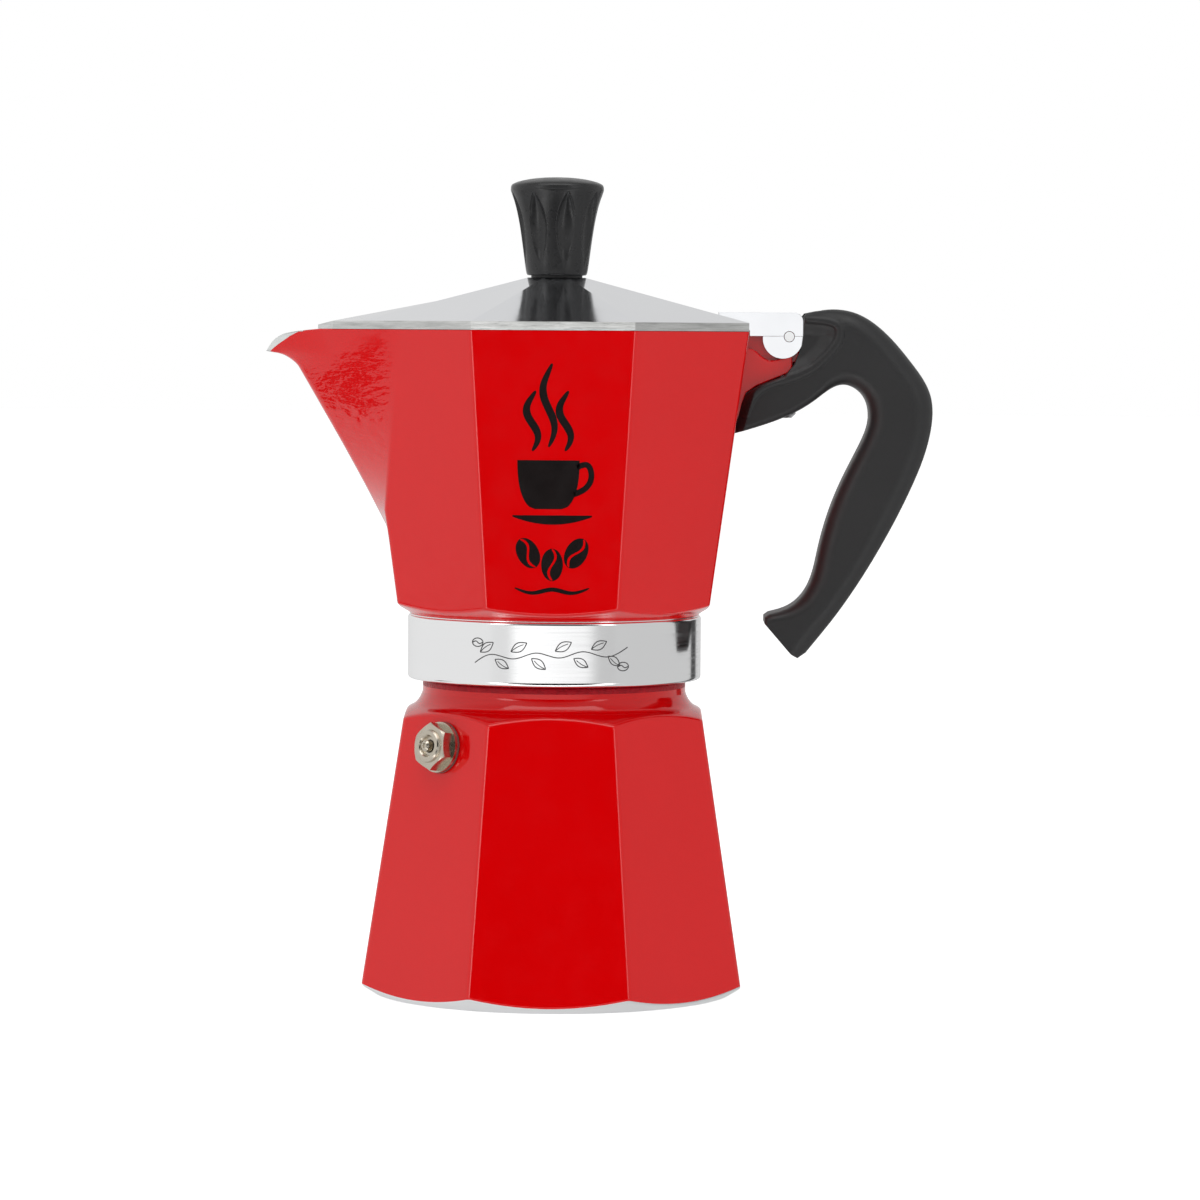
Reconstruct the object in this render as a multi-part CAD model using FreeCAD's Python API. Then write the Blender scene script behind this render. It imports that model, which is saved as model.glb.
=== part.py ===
"""Six-cup stovetop moka pot, modelled as the separate pieces it is assembled from.

Millimetres. +Z is up and Z = 0 is the surface the pot stands on. The origin is on the
pot's vertical axis. The spout points along -X and the handle along +X.
"""

import FreeCAD, Part
import math
import os

V = FreeCAD.Vector

# ---- driving dimensions -------------------------------------------------------------

SIDES = 8
COS_HALF = math.cos(math.pi / SIDES)
CORNER_SOFTNESS = 1.1

BOILER_BASE_R = 54.42
BOILER_TAPER = 0.1617
BASE_FACE_R = 47.7
BASE_BEVEL_SLOPE = 0.617
BOILER_WALL = 3.0
NECK_R = 34.9
NECK_ROOT_R = 33.7
NECK_BORE_R = 31.0
NECK_TOP_Z = 93.0
SHOULDER_Z = 75.5
SHOULDER_R = 38.6

THREAD_PITCH = 3.0
THREAD_DEPTH = 1.0
NECK_THREAD_Z = 84.4
COLLAR_THREAD_Z = 85.9
THREAD_TURNS = 2.1

COLLAR_R = 38.9
COLLAR_BOTTOM_Z = 83.2
COLLAR_BORE_R = 36.1
COLLECTOR_FLOOR_Z = 100.0
COLLECTOR_BASE_Z = 105.0
COLLECTOR_BASE_R = 44.6
COLLECTOR_FLARE = 0.147
COLLECTOR_WALL = 2.4
RIM_Z = 175.5

SPOUT_ROOT_Z = 120.9
SPOUT_CORNER_Z = 128.2
SPOUT_NOSE_SLOPE = 0.597
SPOUT_NOSE_X = -70.0
SPOUT_NOSE_Z = 165.5
SPOUT_WALL_RATE = 0.2247
SPOUT_TIP_X = -79.4
NOSE_SOFTNESS = 4.5

SEAT_R = 35.2
SEAT_TOP_Z = 97.0
FLANGE_R = 33.4
FLANGE_T = 0.8
GASKET_R = 34.9
GASKET_BORE_R = 28.0
FILTER_Z = 95.0
SHEET_T = 0.6

BASKET_R = 29.6
BASKET_FLOOR_Z = 68.0
TUBE_R = 4.8
TUBE_BORE_R = 3.9
TUBE_END_Z = 5.5
TUBE_TOP_Z = 57.5
SOCKET_Z = 55.6

COLUMN_R = 9.0
COLUMN_TOP_R = 6.2
COLUMN_TOP_Z = 152.0
COLUMN_BORE_R = 3.6
COLUMN_SPIGOT_R = 6.0

HINGE_X = 61.6
HINGE_Z = 174.2
PIN_R = 1.3
PIN_FIT = 0.04
LUG_HALF = 4.9
EAR_INNER = 5.3
EAR_OUTER = 6.5
EAR_LOBE = (59.9, 173.7, 5.3)
CHANNEL_TOP_Z = 180.6
CHANNEL_REAR_X = 64.9
EAR_SKIRT_Z = 174.3
CHANNEL_T = 1.2
POCKET_R = 8.3
POCKET_HALF = 6.9
POCKET_NOTCH = [(61.6, 176.9), (69.5, 176.9), (70.9, 182.9), (61.6, 182.9)]

LID_R = 54.86
LID_LIP = 2.2
LID_HUB_R = 8.2
LID_HUB_Z = 189.4
LID_T = 2.1
LID_EDGE_T = 2.4

KNOB_FOOT_Z = 190.0
KNOB_FLUTES = 8
KNOB_PHASE = -75.3
SCREW_R = 2.0
SCREW_HEAD_R = 3.6
SCREW_HEAD_H = 2.3
INSERT_R = 3.6
INSERT_Z = (190.3, 201.3)

HANDLE_HALF = 9.5
BACK_EDGE = 5.5
FRONT_EDGE = 4.5
SCOOP_DEPTH = 1.2
TANG_HALF = 3.6
TANG_SIDE = [(44.0, 154.5), (57.0, 157.4), (68.0, 162.6), (75.0, 167.5), (72.5, 173.0), (69.8, 171.5)]
TANG_SCREW_X = 60.0
TANG_SCREW_SEAT_Z = 155.0

VALVE_Z = 66.7
VALVE_AZIMUTH = -135.0
VALVE_HOLE_R = 4.0
VALVE_FIT = 0.03
VALVE_HEX = 12.5
VALVE_BORE_R = 2.6
VALVE_SEAT = -5.5
PLUNGER_R = 1.5
PLUNGER_TIP = 6.6

# ---- helpers ------------------------------------------------------------------------


def polar(radius, degrees, z=0.0):
    """A point at this radius and azimuth."""
    angle = math.radians(degrees)
    return V(radius * math.cos(angle), radius * math.sin(angle), z)


def octagon(circumradius):
    """Corners of an octagon with flats square to X and Y, anticlockwise from the +X flat."""
    step = 360.0 / SIDES
    return [polar(circumradius, step * (k + 0.5)) for k in range(SIDES)]


def inset(corners, distance):
    """The outline moved inwards by distance, as mitred offsets of its corners."""
    moved = []
    for k, here in enumerate(corners):
        before = here - corners[k - 1]
        after = corners[(k + 1) % len(corners)] - here
        before.normalize()
        after.normalize()
        normals = V(-before.y, before.x, 0) + V(-after.y, after.x, 0)
        moved.append(here + normals * (distance / (1 + before.dot(after))))
    return moved


def soft_wire(corners, z, softness):
    """A closed outline at height z, each corner eased over its own softness."""
    count = len(corners)
    lifted = [V(p.x, p.y, z) for p in corners]
    starts = []
    ends = []
    for k, here in enumerate(lifted):
        back = lifted[k - 1] - here
        ahead = lifted[(k + 1) % count] - here
        back.normalize()
        ahead.normalize()
        starts.append(here + back * softness[k])
        ends.append(here + ahead * softness[k])
    edges = []
    for k in range(count):
        ease = Part.BezierCurve()
        ease.setPoles([starts[k], lifted[k], ends[k]])
        edges.append(ease.toShape())
        edges.append(Part.LineSegment(ends[k], starts[(k + 1) % count]).toShape())
    return Part.Wire(edges)


def ruled(wires):
    """A straight-sided solid through a stack of outlines."""
    return Part.makeLoft(wires, True, True)


def face_of(points):
    """A flat face with straight edges."""
    return Part.Face(Part.makePolygon(points + [points[0]]))


def turned(profile):
    """A solid of revolution about Z from (radius, height) points."""
    outline = face_of([V(r, 0, z) for r, z in profile])
    return outline.revolve(V(0, 0, 0), V(0, 0, 1), 360)


def rod(radius, start, end):
    """A round bar between two points."""
    path = end - start
    return Part.makeCylinder(radius, path.Length, start, path)


def plate_xz(points, half_width):
    """A plate centred on Y = 0 whose side outline is a polygon of (x, z)."""
    side = face_of([V(x, -half_width, z) for x, z in points])
    return side.extrude(V(0, 2 * half_width, 0))


def cross_bar(x, z, radius, half_width):
    """A round bar along Y, centred on Y = 0."""
    return rod(radius, V(x, -half_width, z), V(x, half_width, z))


def thread(root_r, depth, z, turns, inward=False):
    """One helical ridge standing out of a cylinder of root_r, or into its bore."""
    side = -1 if inward else 1
    buried = root_r - side * 0.3
    crest = root_r + side * depth
    helix = Part.makeHelix(THREAD_PITCH, THREAD_PITCH * turns, root_r)
    profile = Part.makePolygon([
        V(buried, 0, -0.95), V(crest, 0, -0.35), V(crest, 0, 0.35), V(buried, 0, 0.95),
        V(buried, 0, -0.95),
    ])
    ridge = Part.Wire(helix).makePipeShell([profile], True, True)
    ridge.translate(V(0, 0, z))
    return ridge


def perforate(disc, radius, pitch, hole_r, thickness):
    """The disc with round holes on a triangular grid out to radius."""
    row_step = pitch * math.sqrt(3) / 2
    rows = int(radius / row_step)
    reach = int(radius / pitch) + 1
    z = disc.BoundBox.ZMin
    holes = []
    for row in range(-rows, rows + 1):
        shift = pitch / 2 if row % 2 else 0.0
        for column in range(-reach, reach + 1):
            x = column * pitch + shift
            y = row * row_step
            if math.hypot(x, y) <= radius - hole_r:
                holes.append(Part.makeCylinder(hole_r, 3 * thickness, V(x, y, z - thickness)))
    return disc.cut(Part.makeCompound(holes))


def boiler_r(z):
    """The boiler's corner radius at a height."""
    return BOILER_BASE_R - BOILER_TAPER * z


def collector_r(z):
    """The collector's corner radius at a height."""
    return COLLECTOR_BASE_R + COLLECTOR_FLARE * (z - COLLECTOR_BASE_Z)


def place_on_facet(shape):
    """A valve piece made on +Z, moved to the boiler's front-left facet and tilted with it."""
    tilt = math.degrees(math.atan(BOILER_TAPER * COS_HALF))
    turn = FreeCAD.Rotation(V(0, 0, 1), VALVE_AZIMUTH)
    lean = FreeCAD.Rotation(V(0, 1, 0), 90 - tilt)
    spot = polar(boiler_r(VALVE_Z) * COS_HALF, VALVE_AZIMUTH, VALVE_Z)
    placed = shape.copy()
    placed.Placement = FreeCAD.Placement(spot, turn.multiply(lean)).multiply(shape.Placement)
    return placed


# ---- boiler and its safety valve ----------------------------------------------------


def boiler():
    """Octagonal cast boiler with a turned base, a round threaded neck and a valve boss."""
    soft = [CORNER_SOFTNESS] * SIDES
    top = 80.0
    outside = ruled([soft_wire(octagon(boiler_r(z)), z, soft) for z in (0.0, top)])
    wide = 60.0
    outside = outside.common(turned([
        (0, 0), (BASE_FACE_R, 0), (wide, BASE_BEVEL_SLOPE * (wide - BASE_FACE_R)),
        (wide, 64.5), (SHOULDER_R, SHOULDER_Z), (37.2, 76.2), (36.1, 77.3), (35.3, 78.7),
        (NECK_R, top), (0, top),
    ]))
    neck = turned([
        (0, 70), (NECK_R - 0.5, 70), (NECK_R, top), (NECK_R, 82.6), (NECK_ROOT_R, 83.4),
        (NECK_ROOT_R, NECK_TOP_Z - 0.6), (NECK_ROOT_R - 0.6, NECK_TOP_Z), (0, NECK_TOP_Z),
    ])
    ridge = thread(NECK_ROOT_R, THREAD_DEPTH, NECK_THREAD_Z, THREAD_TURNS)
    solid = outside.fuse(neck).fuse(ridge)

    inner_soft = [4.0] * SIDES
    hollow = ruled([
        soft_wire(inset(octagon(boiler_r(z)), BOILER_WALL), z, inner_soft) for z in (BOILER_WALL, top)
    ])
    hollow = hollow.common(turned([
        (0, BOILER_WALL), (45.5, BOILER_WALL), (wide, 17.0), (wide, 60.9), (37.1, 72.65),
        (NECK_BORE_R, 77.0), (NECK_BORE_R, top), (0, top),
    ]))
    bore = Part.makeCylinder(NECK_BORE_R, NECK_TOP_Z - 74.0, V(0, 0, 75.0))
    pad = place_on_facet(Part.makeCylinder(7.5, 2.5, V(0, 0, -4.6)))
    valve_hole = place_on_facet(Part.makeCylinder(VALVE_HOLE_R, 12.0, V(0, 0, -9.0)))
    return solid.cut(hollow).cut(bore).fuse(pad).cut(valve_hole).removeSplitter()


def valve_body():
    """Hexagonal brass valve housing with a flange, a shank through the wall and a seat."""
    shank = Part.makeCylinder(VALVE_HOLE_R - VALVE_FIT, 9.6, V(0, 0, -8.0))
    flange = Part.makeCylinder(6.6, 0.8, V(0, 0, 0.8))
    corners = [polar(VALVE_HEX / 2, 60 * k + 8, 1.6) for k in range(6)]
    hexagon = face_of(corners).extrude(V(0, 0, 3.2))
    chamfer = turned([(0, 1.6), (5.9, 1.6), (6.5, 2.2), (6.5, 4.1), (5.5, 4.8), (0, 4.8)])
    collar = turned([(0, 4.6), (4.4, 4.6), (4.2, 5.3), (3.9, 5.6), (0, 5.6)])
    bore = Part.makeCylinder(VALVE_BORE_R, 11.2, V(0, 0, VALVE_SEAT))
    mouth = Part.makeCone(VALVE_BORE_R, 3.0, 0.5, V(0, 0, 5.2))
    inlet = Part.makeCylinder(1.2, 3.0, V(0, 0, -8.2))
    solid = shank.fuse(flange).fuse(hexagon.common(chamfer)).fuse(collar)
    return place_on_facet(solid.cut(bore).cut(mouth).cut(inlet).removeSplitter())


def valve_washer():
    """Sealing ring between the valve's flange and the boiler wall."""
    ring = turned([(4.05, 0), (6.4, 0), (6.7, 0.2), (6.7, 0.6), (6.4, 0.8), (4.05, 0.8)])
    return place_on_facet(ring)


def valve_plunger():
    """Spring-loaded piston whose pin stands out of the valve as the test button."""
    tip = PLUNGER_TIP
    return place_on_facet(turned([
        (0, -4.9), (2.35, -4.9), (2.35, -4.0), (PLUNGER_R, -4.0), (PLUNGER_R, tip - 0.5),
        (PLUNGER_R - 0.5, tip), (0.6, tip), (0.4, tip - 0.4), (0, tip - 0.4),
    ]))


def plunger_seal():
    """Silicone disc on the piston that closes the valve seat."""
    return place_on_facet(Part.makeCylinder(2.1, 0.6, V(0, 0, VALVE_SEAT)))


def valve_spring():
    """Coil spring between the piston and the retaining ring."""
    wire_r = 0.22
    coil_r = 2.08
    low = -4.0 + wire_r
    high = 3.6 - wire_r
    coils = 6
    helix = Part.makeHelix((high - low) / coils, high - low, coil_r)
    sides = 10
    turns = [2 * math.pi * k / sides for k in range(sides + 1)]
    section = Part.makePolygon([V(coil_r + wire_r * math.cos(t), 0, wire_r * math.sin(t)) for t in turns])
    spring = Part.Wire(helix).makePipeShell([section], True, True)
    spring.translate(V(0, 0, low))
    return place_on_facet(spring)


def valve_retainer():
    """Ring pressed into the valve's mouth that the spring pushes against."""
    return place_on_facet(turned([(1.75, 3.6), (VALVE_BORE_R, 3.6), (VALVE_BORE_R, 4.5), (1.75, 4.5)]))


# ---- filter funnel and seal ---------------------------------------------------------


def funnel_basket():
    """Coffee basket with a flange on the boiler's rim, a cone below and a socket for the tube."""
    wall = 0.7
    floor = BASKET_FLOOR_Z
    socket = TUBE_R + 0.03
    return turned([
        (FLANGE_R, NECK_TOP_Z + FLANGE_T), (FLANGE_R, NECK_TOP_Z), (BASKET_R, NECK_TOP_Z),
        (BASKET_R - 0.4, floor - 0.4), (26.6, floor - 1.2), (6.6, 58.4), (socket + wall, 57.8),
        (socket + wall, SOCKET_Z), (socket, SOCKET_Z), (socket, TUBE_TOP_Z + 0.1), (TUBE_BORE_R, TUBE_TOP_Z + 0.1),
        (TUBE_BORE_R, 58.3), (5.9, 59.1), (26.2, floor - 0.4), (26.2, floor),
        (BASKET_R - 0.4 - wall, floor), (BASKET_R - wall, NECK_TOP_Z + FLANGE_T),
    ])


def funnel_tube():
    """Tube pressed into the basket's socket that reaches down into the water."""
    return turned([
        (TUBE_BORE_R, TUBE_END_Z), (TUBE_R, TUBE_END_Z), (TUBE_R, TUBE_TOP_Z), (TUBE_BORE_R, TUBE_TOP_Z),
    ])


def funnel_strainer():
    """Perforated disc that carries the coffee bed inside the basket."""
    radius = BASKET_R - 1.3
    disc = Part.makeCylinder(radius, SHEET_T, V(0, 0, BASKET_FLOOR_Z))
    return perforate(disc, radius - 3.5, 3.6, 0.75, SHEET_T)


def gasket():
    """Silicone ring squeezed between the boiler's rim and the collector."""
    low = NECK_TOP_Z + FLANGE_T
    lip = FILTER_Z - 0.05
    return turned([
        (GASKET_BORE_R - 1.2, low + 0.3), (GASKET_BORE_R - 0.9, low), (GASKET_R - 0.3, low),
        (GASKET_R, low + 0.3), (GASKET_R, SEAT_TOP_Z), (GASKET_BORE_R + 0.05, SEAT_TOP_Z),
        (GASKET_BORE_R + 0.05, lip), (GASKET_BORE_R - 1.2, lip),
    ])


def filter_plate():
    """Upper perforated filter, a shallow dish clipped inside the gasket."""
    dish = turned([
        (0, FILTER_Z), (GASKET_BORE_R, FILTER_Z), (GASKET_BORE_R, SEAT_TOP_Z),
        (GASKET_BORE_R - SHEET_T, SEAT_TOP_Z), (GASKET_BORE_R - SHEET_T, FILTER_Z + SHEET_T),
        (0, FILTER_Z + SHEET_T),
    ])
    return perforate(dish, GASKET_BORE_R - 2.5, 3.0, 0.6, SHEET_T)


# ---- collector ----------------------------------------------------------------------


def nose_x(z):
    """How far out the spout's ridge is at a height, never inside the flat facet."""
    ridge = SPOUT_NOSE_X + SPOUT_NOSE_SLOPE * (SPOUT_NOSE_Z - z)
    return min(ridge, -collector_r(z) * COS_HALF)


def pot_outline(z, nose):
    """The octagon with its -X facet drawn out to the spout's nose."""
    corners = octagon(collector_r(z))
    spread = SPOUT_WALL_RATE * max(0.0, z - SPOUT_CORNER_Z)
    upper = corners[3] + V(spread, spread, 0)
    lower = corners[4] + V(spread, -spread, 0)
    return corners[:3] + [upper, V(nose, 0, 0), lower] + corners[5:]


def pot_softness(edge, nose):
    """Softness of each corner of pot_outline."""
    return [edge] * 3 + [edge, nose, edge] + [edge] * 3


def pot_stack(inward, edge, nose):
    """Solid through the collector's outlines, moved inwards by a wall thickness."""
    levels = [
        (99.0, nose_x(99.0)), (SPOUT_ROOT_Z, nose_x(SPOUT_ROOT_Z)),
        (SPOUT_CORNER_Z, nose_x(SPOUT_CORNER_Z)), (SPOUT_NOSE_Z, SPOUT_NOSE_X),
        (166.3, -70.7), (167.75, -72.6), (168.8, -74.8), (169.2, -77.0), (169.5, SPOUT_TIP_X),
        (180.0, SPOUT_TIP_X),
    ]
    soft = pot_softness(edge, nose)
    return ruled([soft_wire(inset(pot_outline(z, x), inward), z, soft) for z, x in levels])


def spout_crest():
    """Everything above the rim plane and above the spout's curved upper edge."""
    crest = Part.BSplineCurve()
    crest.interpolate([V(x, 0, z) for x, z in [
        (-90.0, 156.0), (-77.6, 169.2), (-75.9, 171.4), (-74.3, 172.9), (-72.1, 174.1), (-69.3, 174.7),
        (-66.1, 175.1), (-62.0, RIM_Z),
    ]])
    outline = [
        Part.LineSegment(V(-62.0, 0, RIM_Z), V(90, 0, RIM_Z)).toShape(),
        Part.LineSegment(V(90, 0, RIM_Z), V(90, 0, 190)).toShape(),
        Part.LineSegment(V(90, 0, 190), V(-90, 0, 190)).toShape(),
        Part.LineSegment(V(-90, 0, 190), V(-90, 0, 156.0)).toShape(),
    ]
    side = Part.Face(Part.Wire([crest.toShape()] + outline))
    side.translate(V(0, -80, 0))
    return side.extrude(V(0, 160, 0))


def tang():
    """Tongue of the collector casting that the handle slides onto."""
    blade = plate_xz(TANG_SIDE + [(65.0, 166.2), (44.0, 166.2)], TANG_HALF)
    return blade.cut(cross_bar(HINGE_X, HINGE_Z, POCKET_R, POCKET_HALF))


def hinge_lug():
    """Cast lug for the hinge pin, on a wider gusset that is cut back round the lid's ears."""
    underside = [(44.0, 158.0), (48.9, 158.6), (53.3, 161.2), (62.3, 165.0)]
    knuckle_r = 4.3
    lug = plate_xz(underside + [
        (HINGE_X + knuckle_r, 172.0), (HINGE_X + knuckle_r, HINGE_Z),
        (HINGE_X - knuckle_r, HINGE_Z), (52.0, 173.4), (44.0, 173.4),
    ], LUG_HALF)
    lug = lug.fuse(cross_bar(HINGE_X, HINGE_Z, knuckle_r, LUG_HALF))
    wide = 7.2
    gusset = face_of([
        V(44.0, -LUG_HALF, 171.5), V(44.0, -wide, 167.5), V(44.0, -wide, 150.0),
        V(44.0, wide, 150.0), V(44.0, wide, 167.5), V(44.0, LUG_HALF, 171.5),
    ]).extrude(V(18.3, 0, 0))
    gusset = gusset.common(plate_xz(underside + [(62.3, 172.0), (44.0, 172.0)], wide))
    relief = cross_bar(EAR_LOBE[0], EAR_LOBE[1], EAR_LOBE[2] + 1.5, wide + 1)
    return lug.fuse(gusset.cut(relief)).removeSplitter()


def collector():
    """Upper casting: threaded collar, octagonal pot, pouring spout and hinge lug."""
    outside = pot_stack(0.0, CORNER_SOFTNESS, NOSE_SOFTNESS)
    flare = [(0, 99.0), (38.2, 99.0), (38.4, 100.4), (39.4, 101.2), (41.1, 102.1), (44.4, 103.5)]
    outside = outside.common(turned(flare + [(110.0, 131.3), (110.0, 181.0), (0, 181.0)]))
    collar = turned([
        (30.0, COLLAR_BOTTOM_Z), (COLLAR_R - 0.9, COLLAR_BOTTOM_Z),
        (COLLAR_R - 0.25, COLLAR_BOTTOM_Z + 0.25), (COLLAR_R, COLLAR_BOTTOM_Z + 0.9),
        (COLLAR_R, 99.8), (COLLAR_R - 0.3, 100.1), (30.0, 100.1),
    ])
    floor = Part.makeCylinder(32.0, 16.8, V(0, 0, COLLAR_BOTTOM_Z))
    hollow = pot_stack(COLLECTOR_WALL, 3.0, 3.0)
    hollow = hollow.common(turned([
        (0, COLLECTOR_FLOOR_Z), (33.0, COLLECTOR_FLOOR_Z), (37.5, 102.8), (100.0, 131.4),
        (100.0, 181.0), (0, 181.0),
    ]))
    lug = hinge_lug().fuse(tang()).cut(hollow)
    shell = outside.fuse(collar).fuse(floor).cut(hollow).cut(spout_crest()).fuse(lug)
    thread_bore = turned([
        (0, COLLAR_BOTTOM_Z - 1), (COLLAR_BORE_R + 1.2, COLLAR_BOTTOM_Z - 1),
        (COLLAR_BORE_R, COLLAR_BOTTOM_Z + 0.8), (COLLAR_BORE_R, 92.8), (SEAT_R, 92.8),
        (SEAT_R, SEAT_TOP_Z), (0, SEAT_TOP_Z),
    ])
    water_dome = turned([(0, 96.0), (25.0, 96.0), (22.0, 98.0), (0, 98.0)])
    column_hole = Part.makeCylinder(COLUMN_SPIGOT_R, 8.0, V(0, 0, 94.0))
    pin_hole = cross_bar(HINGE_X, HINGE_Z, PIN_R, 10.0)
    screw_hole = rod(SCREW_R, V(TANG_SCREW_X, 0, 150.0), V(TANG_SCREW_X, 0, 166.0))
    shell = shell.cut(thread_bore).cut(water_dome).cut(column_hole).cut(pin_hole).cut(screw_hole)
    ridge = thread(COLLAR_BORE_R, THREAD_DEPTH, COLLAR_THREAD_Z, THREAD_TURNS, inward=True)
    return shell.fuse(ridge).removeSplitter()


def riser_column():
    """Tapered column pressed into the collector's floor, with two outlets below its cap."""
    outside = turned([
        (0, 98.0), (COLUMN_SPIGOT_R, 98.0), (COLUMN_SPIGOT_R, COLLECTOR_FLOOR_Z),
        (COLUMN_R, COLLECTOR_FLOOR_Z), (COLUMN_R - 0.3, 103.0), (COLUMN_TOP_R, COLUMN_TOP_Z),
        (COLUMN_TOP_R - 0.5, 155.0), (COLUMN_TOP_R - 2.4, 157.2), (0, 158.0),
    ])
    bore = turned([(0, 97.0), (5.0, 97.0), (COLUMN_BORE_R, 104.0), (COLUMN_BORE_R, 154.0), (0, 156.0)])
    outlets = Part.makeBox(20.0, 4.4, 8.0, V(-10.0, -2.2, 144.0))
    return outside.cut(bore).cut(outlets).removeSplitter()


def hinge_pin():
    """Riveted pin through the lid's ears and the collector's lug."""
    half = EAR_OUTER + 0.2
    return cross_bar(HINGE_X, HINGE_Z, PIN_R, half)


# ---- handle -------------------------------------------------------------------------


def handle_outline():
    """Side outline of the handle: arm, bend, grip and flared foot."""
    back = Part.BSplineCurve()
    back.interpolate([V(x, 0, z) for x, z in [
        (66.4, 180.8), (72.9, 181.5), (79.3, 180.5), (86.5, 175.9), (94.1, 167.4), (99.1, 159.0),
        (99.3, 149.7), (94.4, 134.8), (85.7, 117.8), (74.7, 100.8), (66.6, 90.6),
    ]])
    front = Part.BSplineCurve()
    front.interpolate([V(x, 0, z) for x, z in [
        (56.8, 100.9), (62.2, 102.8), (66.4, 107.0), (69.8, 117.8), (75.3, 134.8), (80.6, 145.6),
        (82.9, 152.4), (81.0, 159.2), (76.0, 161.6), (68.6, 157.6), (60.1, 152.8), (47.9, 148.7),
    ]])
    corners = [V(x, 0, z) for x, z in [
        (47.9, 148.7), (48.6, 154.1), (51.9, 160.3), (54.2, 161.9), (60.3, 164.1), (62.7, 167.0),
        (64.6, 171.4), (65.5, 175.4), (65.5, 179.7), (66.4, 180.8),
    ]]
    foot = [V(x, 0, z) for x, z in [(66.6, 90.6), (64.4, 89.2), (62.6, 90.2), (55.6, 98.2), (55.6, 100.0), (56.8, 100.9)]]
    return Part.Wire(
        [Part.makePolygon(corners).Edges[k] for k in range(len(corners) - 1)]
        + [back.toShape()]
        + [Part.makePolygon(foot).Edges[k] for k in range(len(foot) - 1)]
        + [front.toShape()]
    )


def scoop_outline():
    """Side outline of the shallow hollow in each cheek behind the hinge."""
    return [
        (62.6, 164.6), (67.0, 165.9), (70.9, 169.0), (73.6, 172.6), (74.6, 175.7), (73.6, 177.5),
        (70.6, 178.5), (62.6, 178.9),
    ]


def handle():
    """Moulded handle with a slot for the tang and a pocket for the lid's hinge to swing in."""
    side = Part.Face(handle_outline())
    side.translate(V(0, -HANDLE_HALF, 0))
    solid = side.extrude(V(0, 2 * HANDLE_HALF, 0))
    back_length = 115.0
    solid = solid.makeFillet(BACK_EDGE, [e for e in solid.Edges if e.Length > back_length])
    front_length = (100.0, 108.0)
    front = [e for e in solid.Edges if front_length[0] < e.Length < front_length[1]]
    solid = solid.makeFillet(FRONT_EDGE, front)
    depth = HANDLE_HALF - SCOOP_DEPTH
    scoop = plate_xz(scoop_outline(), HANDLE_HALF + 1).cut(plate_xz(scoop_outline(), depth))
    solid = solid.cut(scoop)
    slot = plate_xz(TANG_SIDE + [(66.0, 182.0), (44.0, 182.0)], TANG_HALF)
    pocket = cross_bar(HINGE_X, HINGE_Z, POCKET_R, POCKET_HALF)
    notch = plate_xz(POCKET_NOTCH, POCKET_HALF)
    solid = solid.cut(slot).cut(pocket).cut(notch).cut(hinge_lug())
    solid = solid.cut(rod(SCREW_HEAD_R + 0.2, V(TANG_SCREW_X, 0, 145.0), V(TANG_SCREW_X, 0, TANG_SCREW_SEAT_Z)))
    solid = solid.cut(rod(SCREW_R + 0.2, V(TANG_SCREW_X, 0, 150.0), V(TANG_SCREW_X, 0, 162.0)))
    foot = plate_xz([(61.3, 89.6), (54.5, 97.4), (56.7, 98.3), (63.0, 91.0)], HANDLE_HALF - 2.0)
    return solid.cut(foot).removeSplitter()


def screw(seat, tip):
    """Pan-head screw with a crossed recess, pointing up, its head below seat."""
    head = turned([
        (0, seat - SCREW_HEAD_H), (SCREW_HEAD_R - 1.0, seat - SCREW_HEAD_H),
        (SCREW_HEAD_R, seat - SCREW_HEAD_H + 1.0), (SCREW_HEAD_R, seat), (SCREW_R, seat),
        (SCREW_R, tip - 0.8), (SCREW_R - 0.8, tip), (0, tip),
    ])
    for turn in (0, 90):
        slot = Part.makeBox(4.2, 0.9, 1.3, V(-2.1, -0.45, seat - SCREW_HEAD_H - 0.1))
        slot.rotate(V(0, 0, 0), V(0, 0, 1), turn)
        head = head.cut(slot)
    return head


def handle_screw():
    """Screw up through the arm's underside into the tang."""
    piece = screw(TANG_SCREW_SEAT_Z, 165.0)
    piece.translate(V(TANG_SCREW_X, 0, 0))
    return piece


# ---- lid and knob -------------------------------------------------------------------


def lid_outline(inward):
    """The octagonal rim with a blunt beak over the spout, moved inwards by a distance."""
    corners = pot_outline(RIM_Z, SPOUT_TIP_X)
    beak = [V(-58.4, 15.7, 0), V(-63.3, 0, 0), V(-58.4, -15.7, 0)]
    return inset(corners[:4] + beak + corners[5:], inward)


def beak_roof(inward, drop):
    """Folded roof from the beak's edge up to the lid's flat facet, lowered by drop."""
    outline = lid_outline(inward)[3:8]
    heights = [RIM_Z + LID_LIP, RIM_Z + LID_LIP - 0.1, 176.6, RIM_Z + LID_LIP - 0.1, RIM_Z + LID_LIP]
    edge = [V(p.x, p.y, z - drop) for p, z in zip(outline, heights)]
    ridge = V(-55.0, 0, 178.5 - drop)
    crown = V(-30.0, 0, 183.4 - drop)
    low = [V(p.x, p.y, RIM_Z - 1 if drop else RIM_Z) for p in edge + [crown]]
    top = edge + [crown]
    faces = [face_of([top[k], top[(k + 1) % 6], ridge]) for k in range(6)]
    faces += [face_of([low[k], low[(k + 1) % 6], top[(k + 1) % 6], top[k]]) for k in range(6)]
    faces.append(face_of(low))
    return Part.Solid(Part.makeShell(faces))


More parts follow.
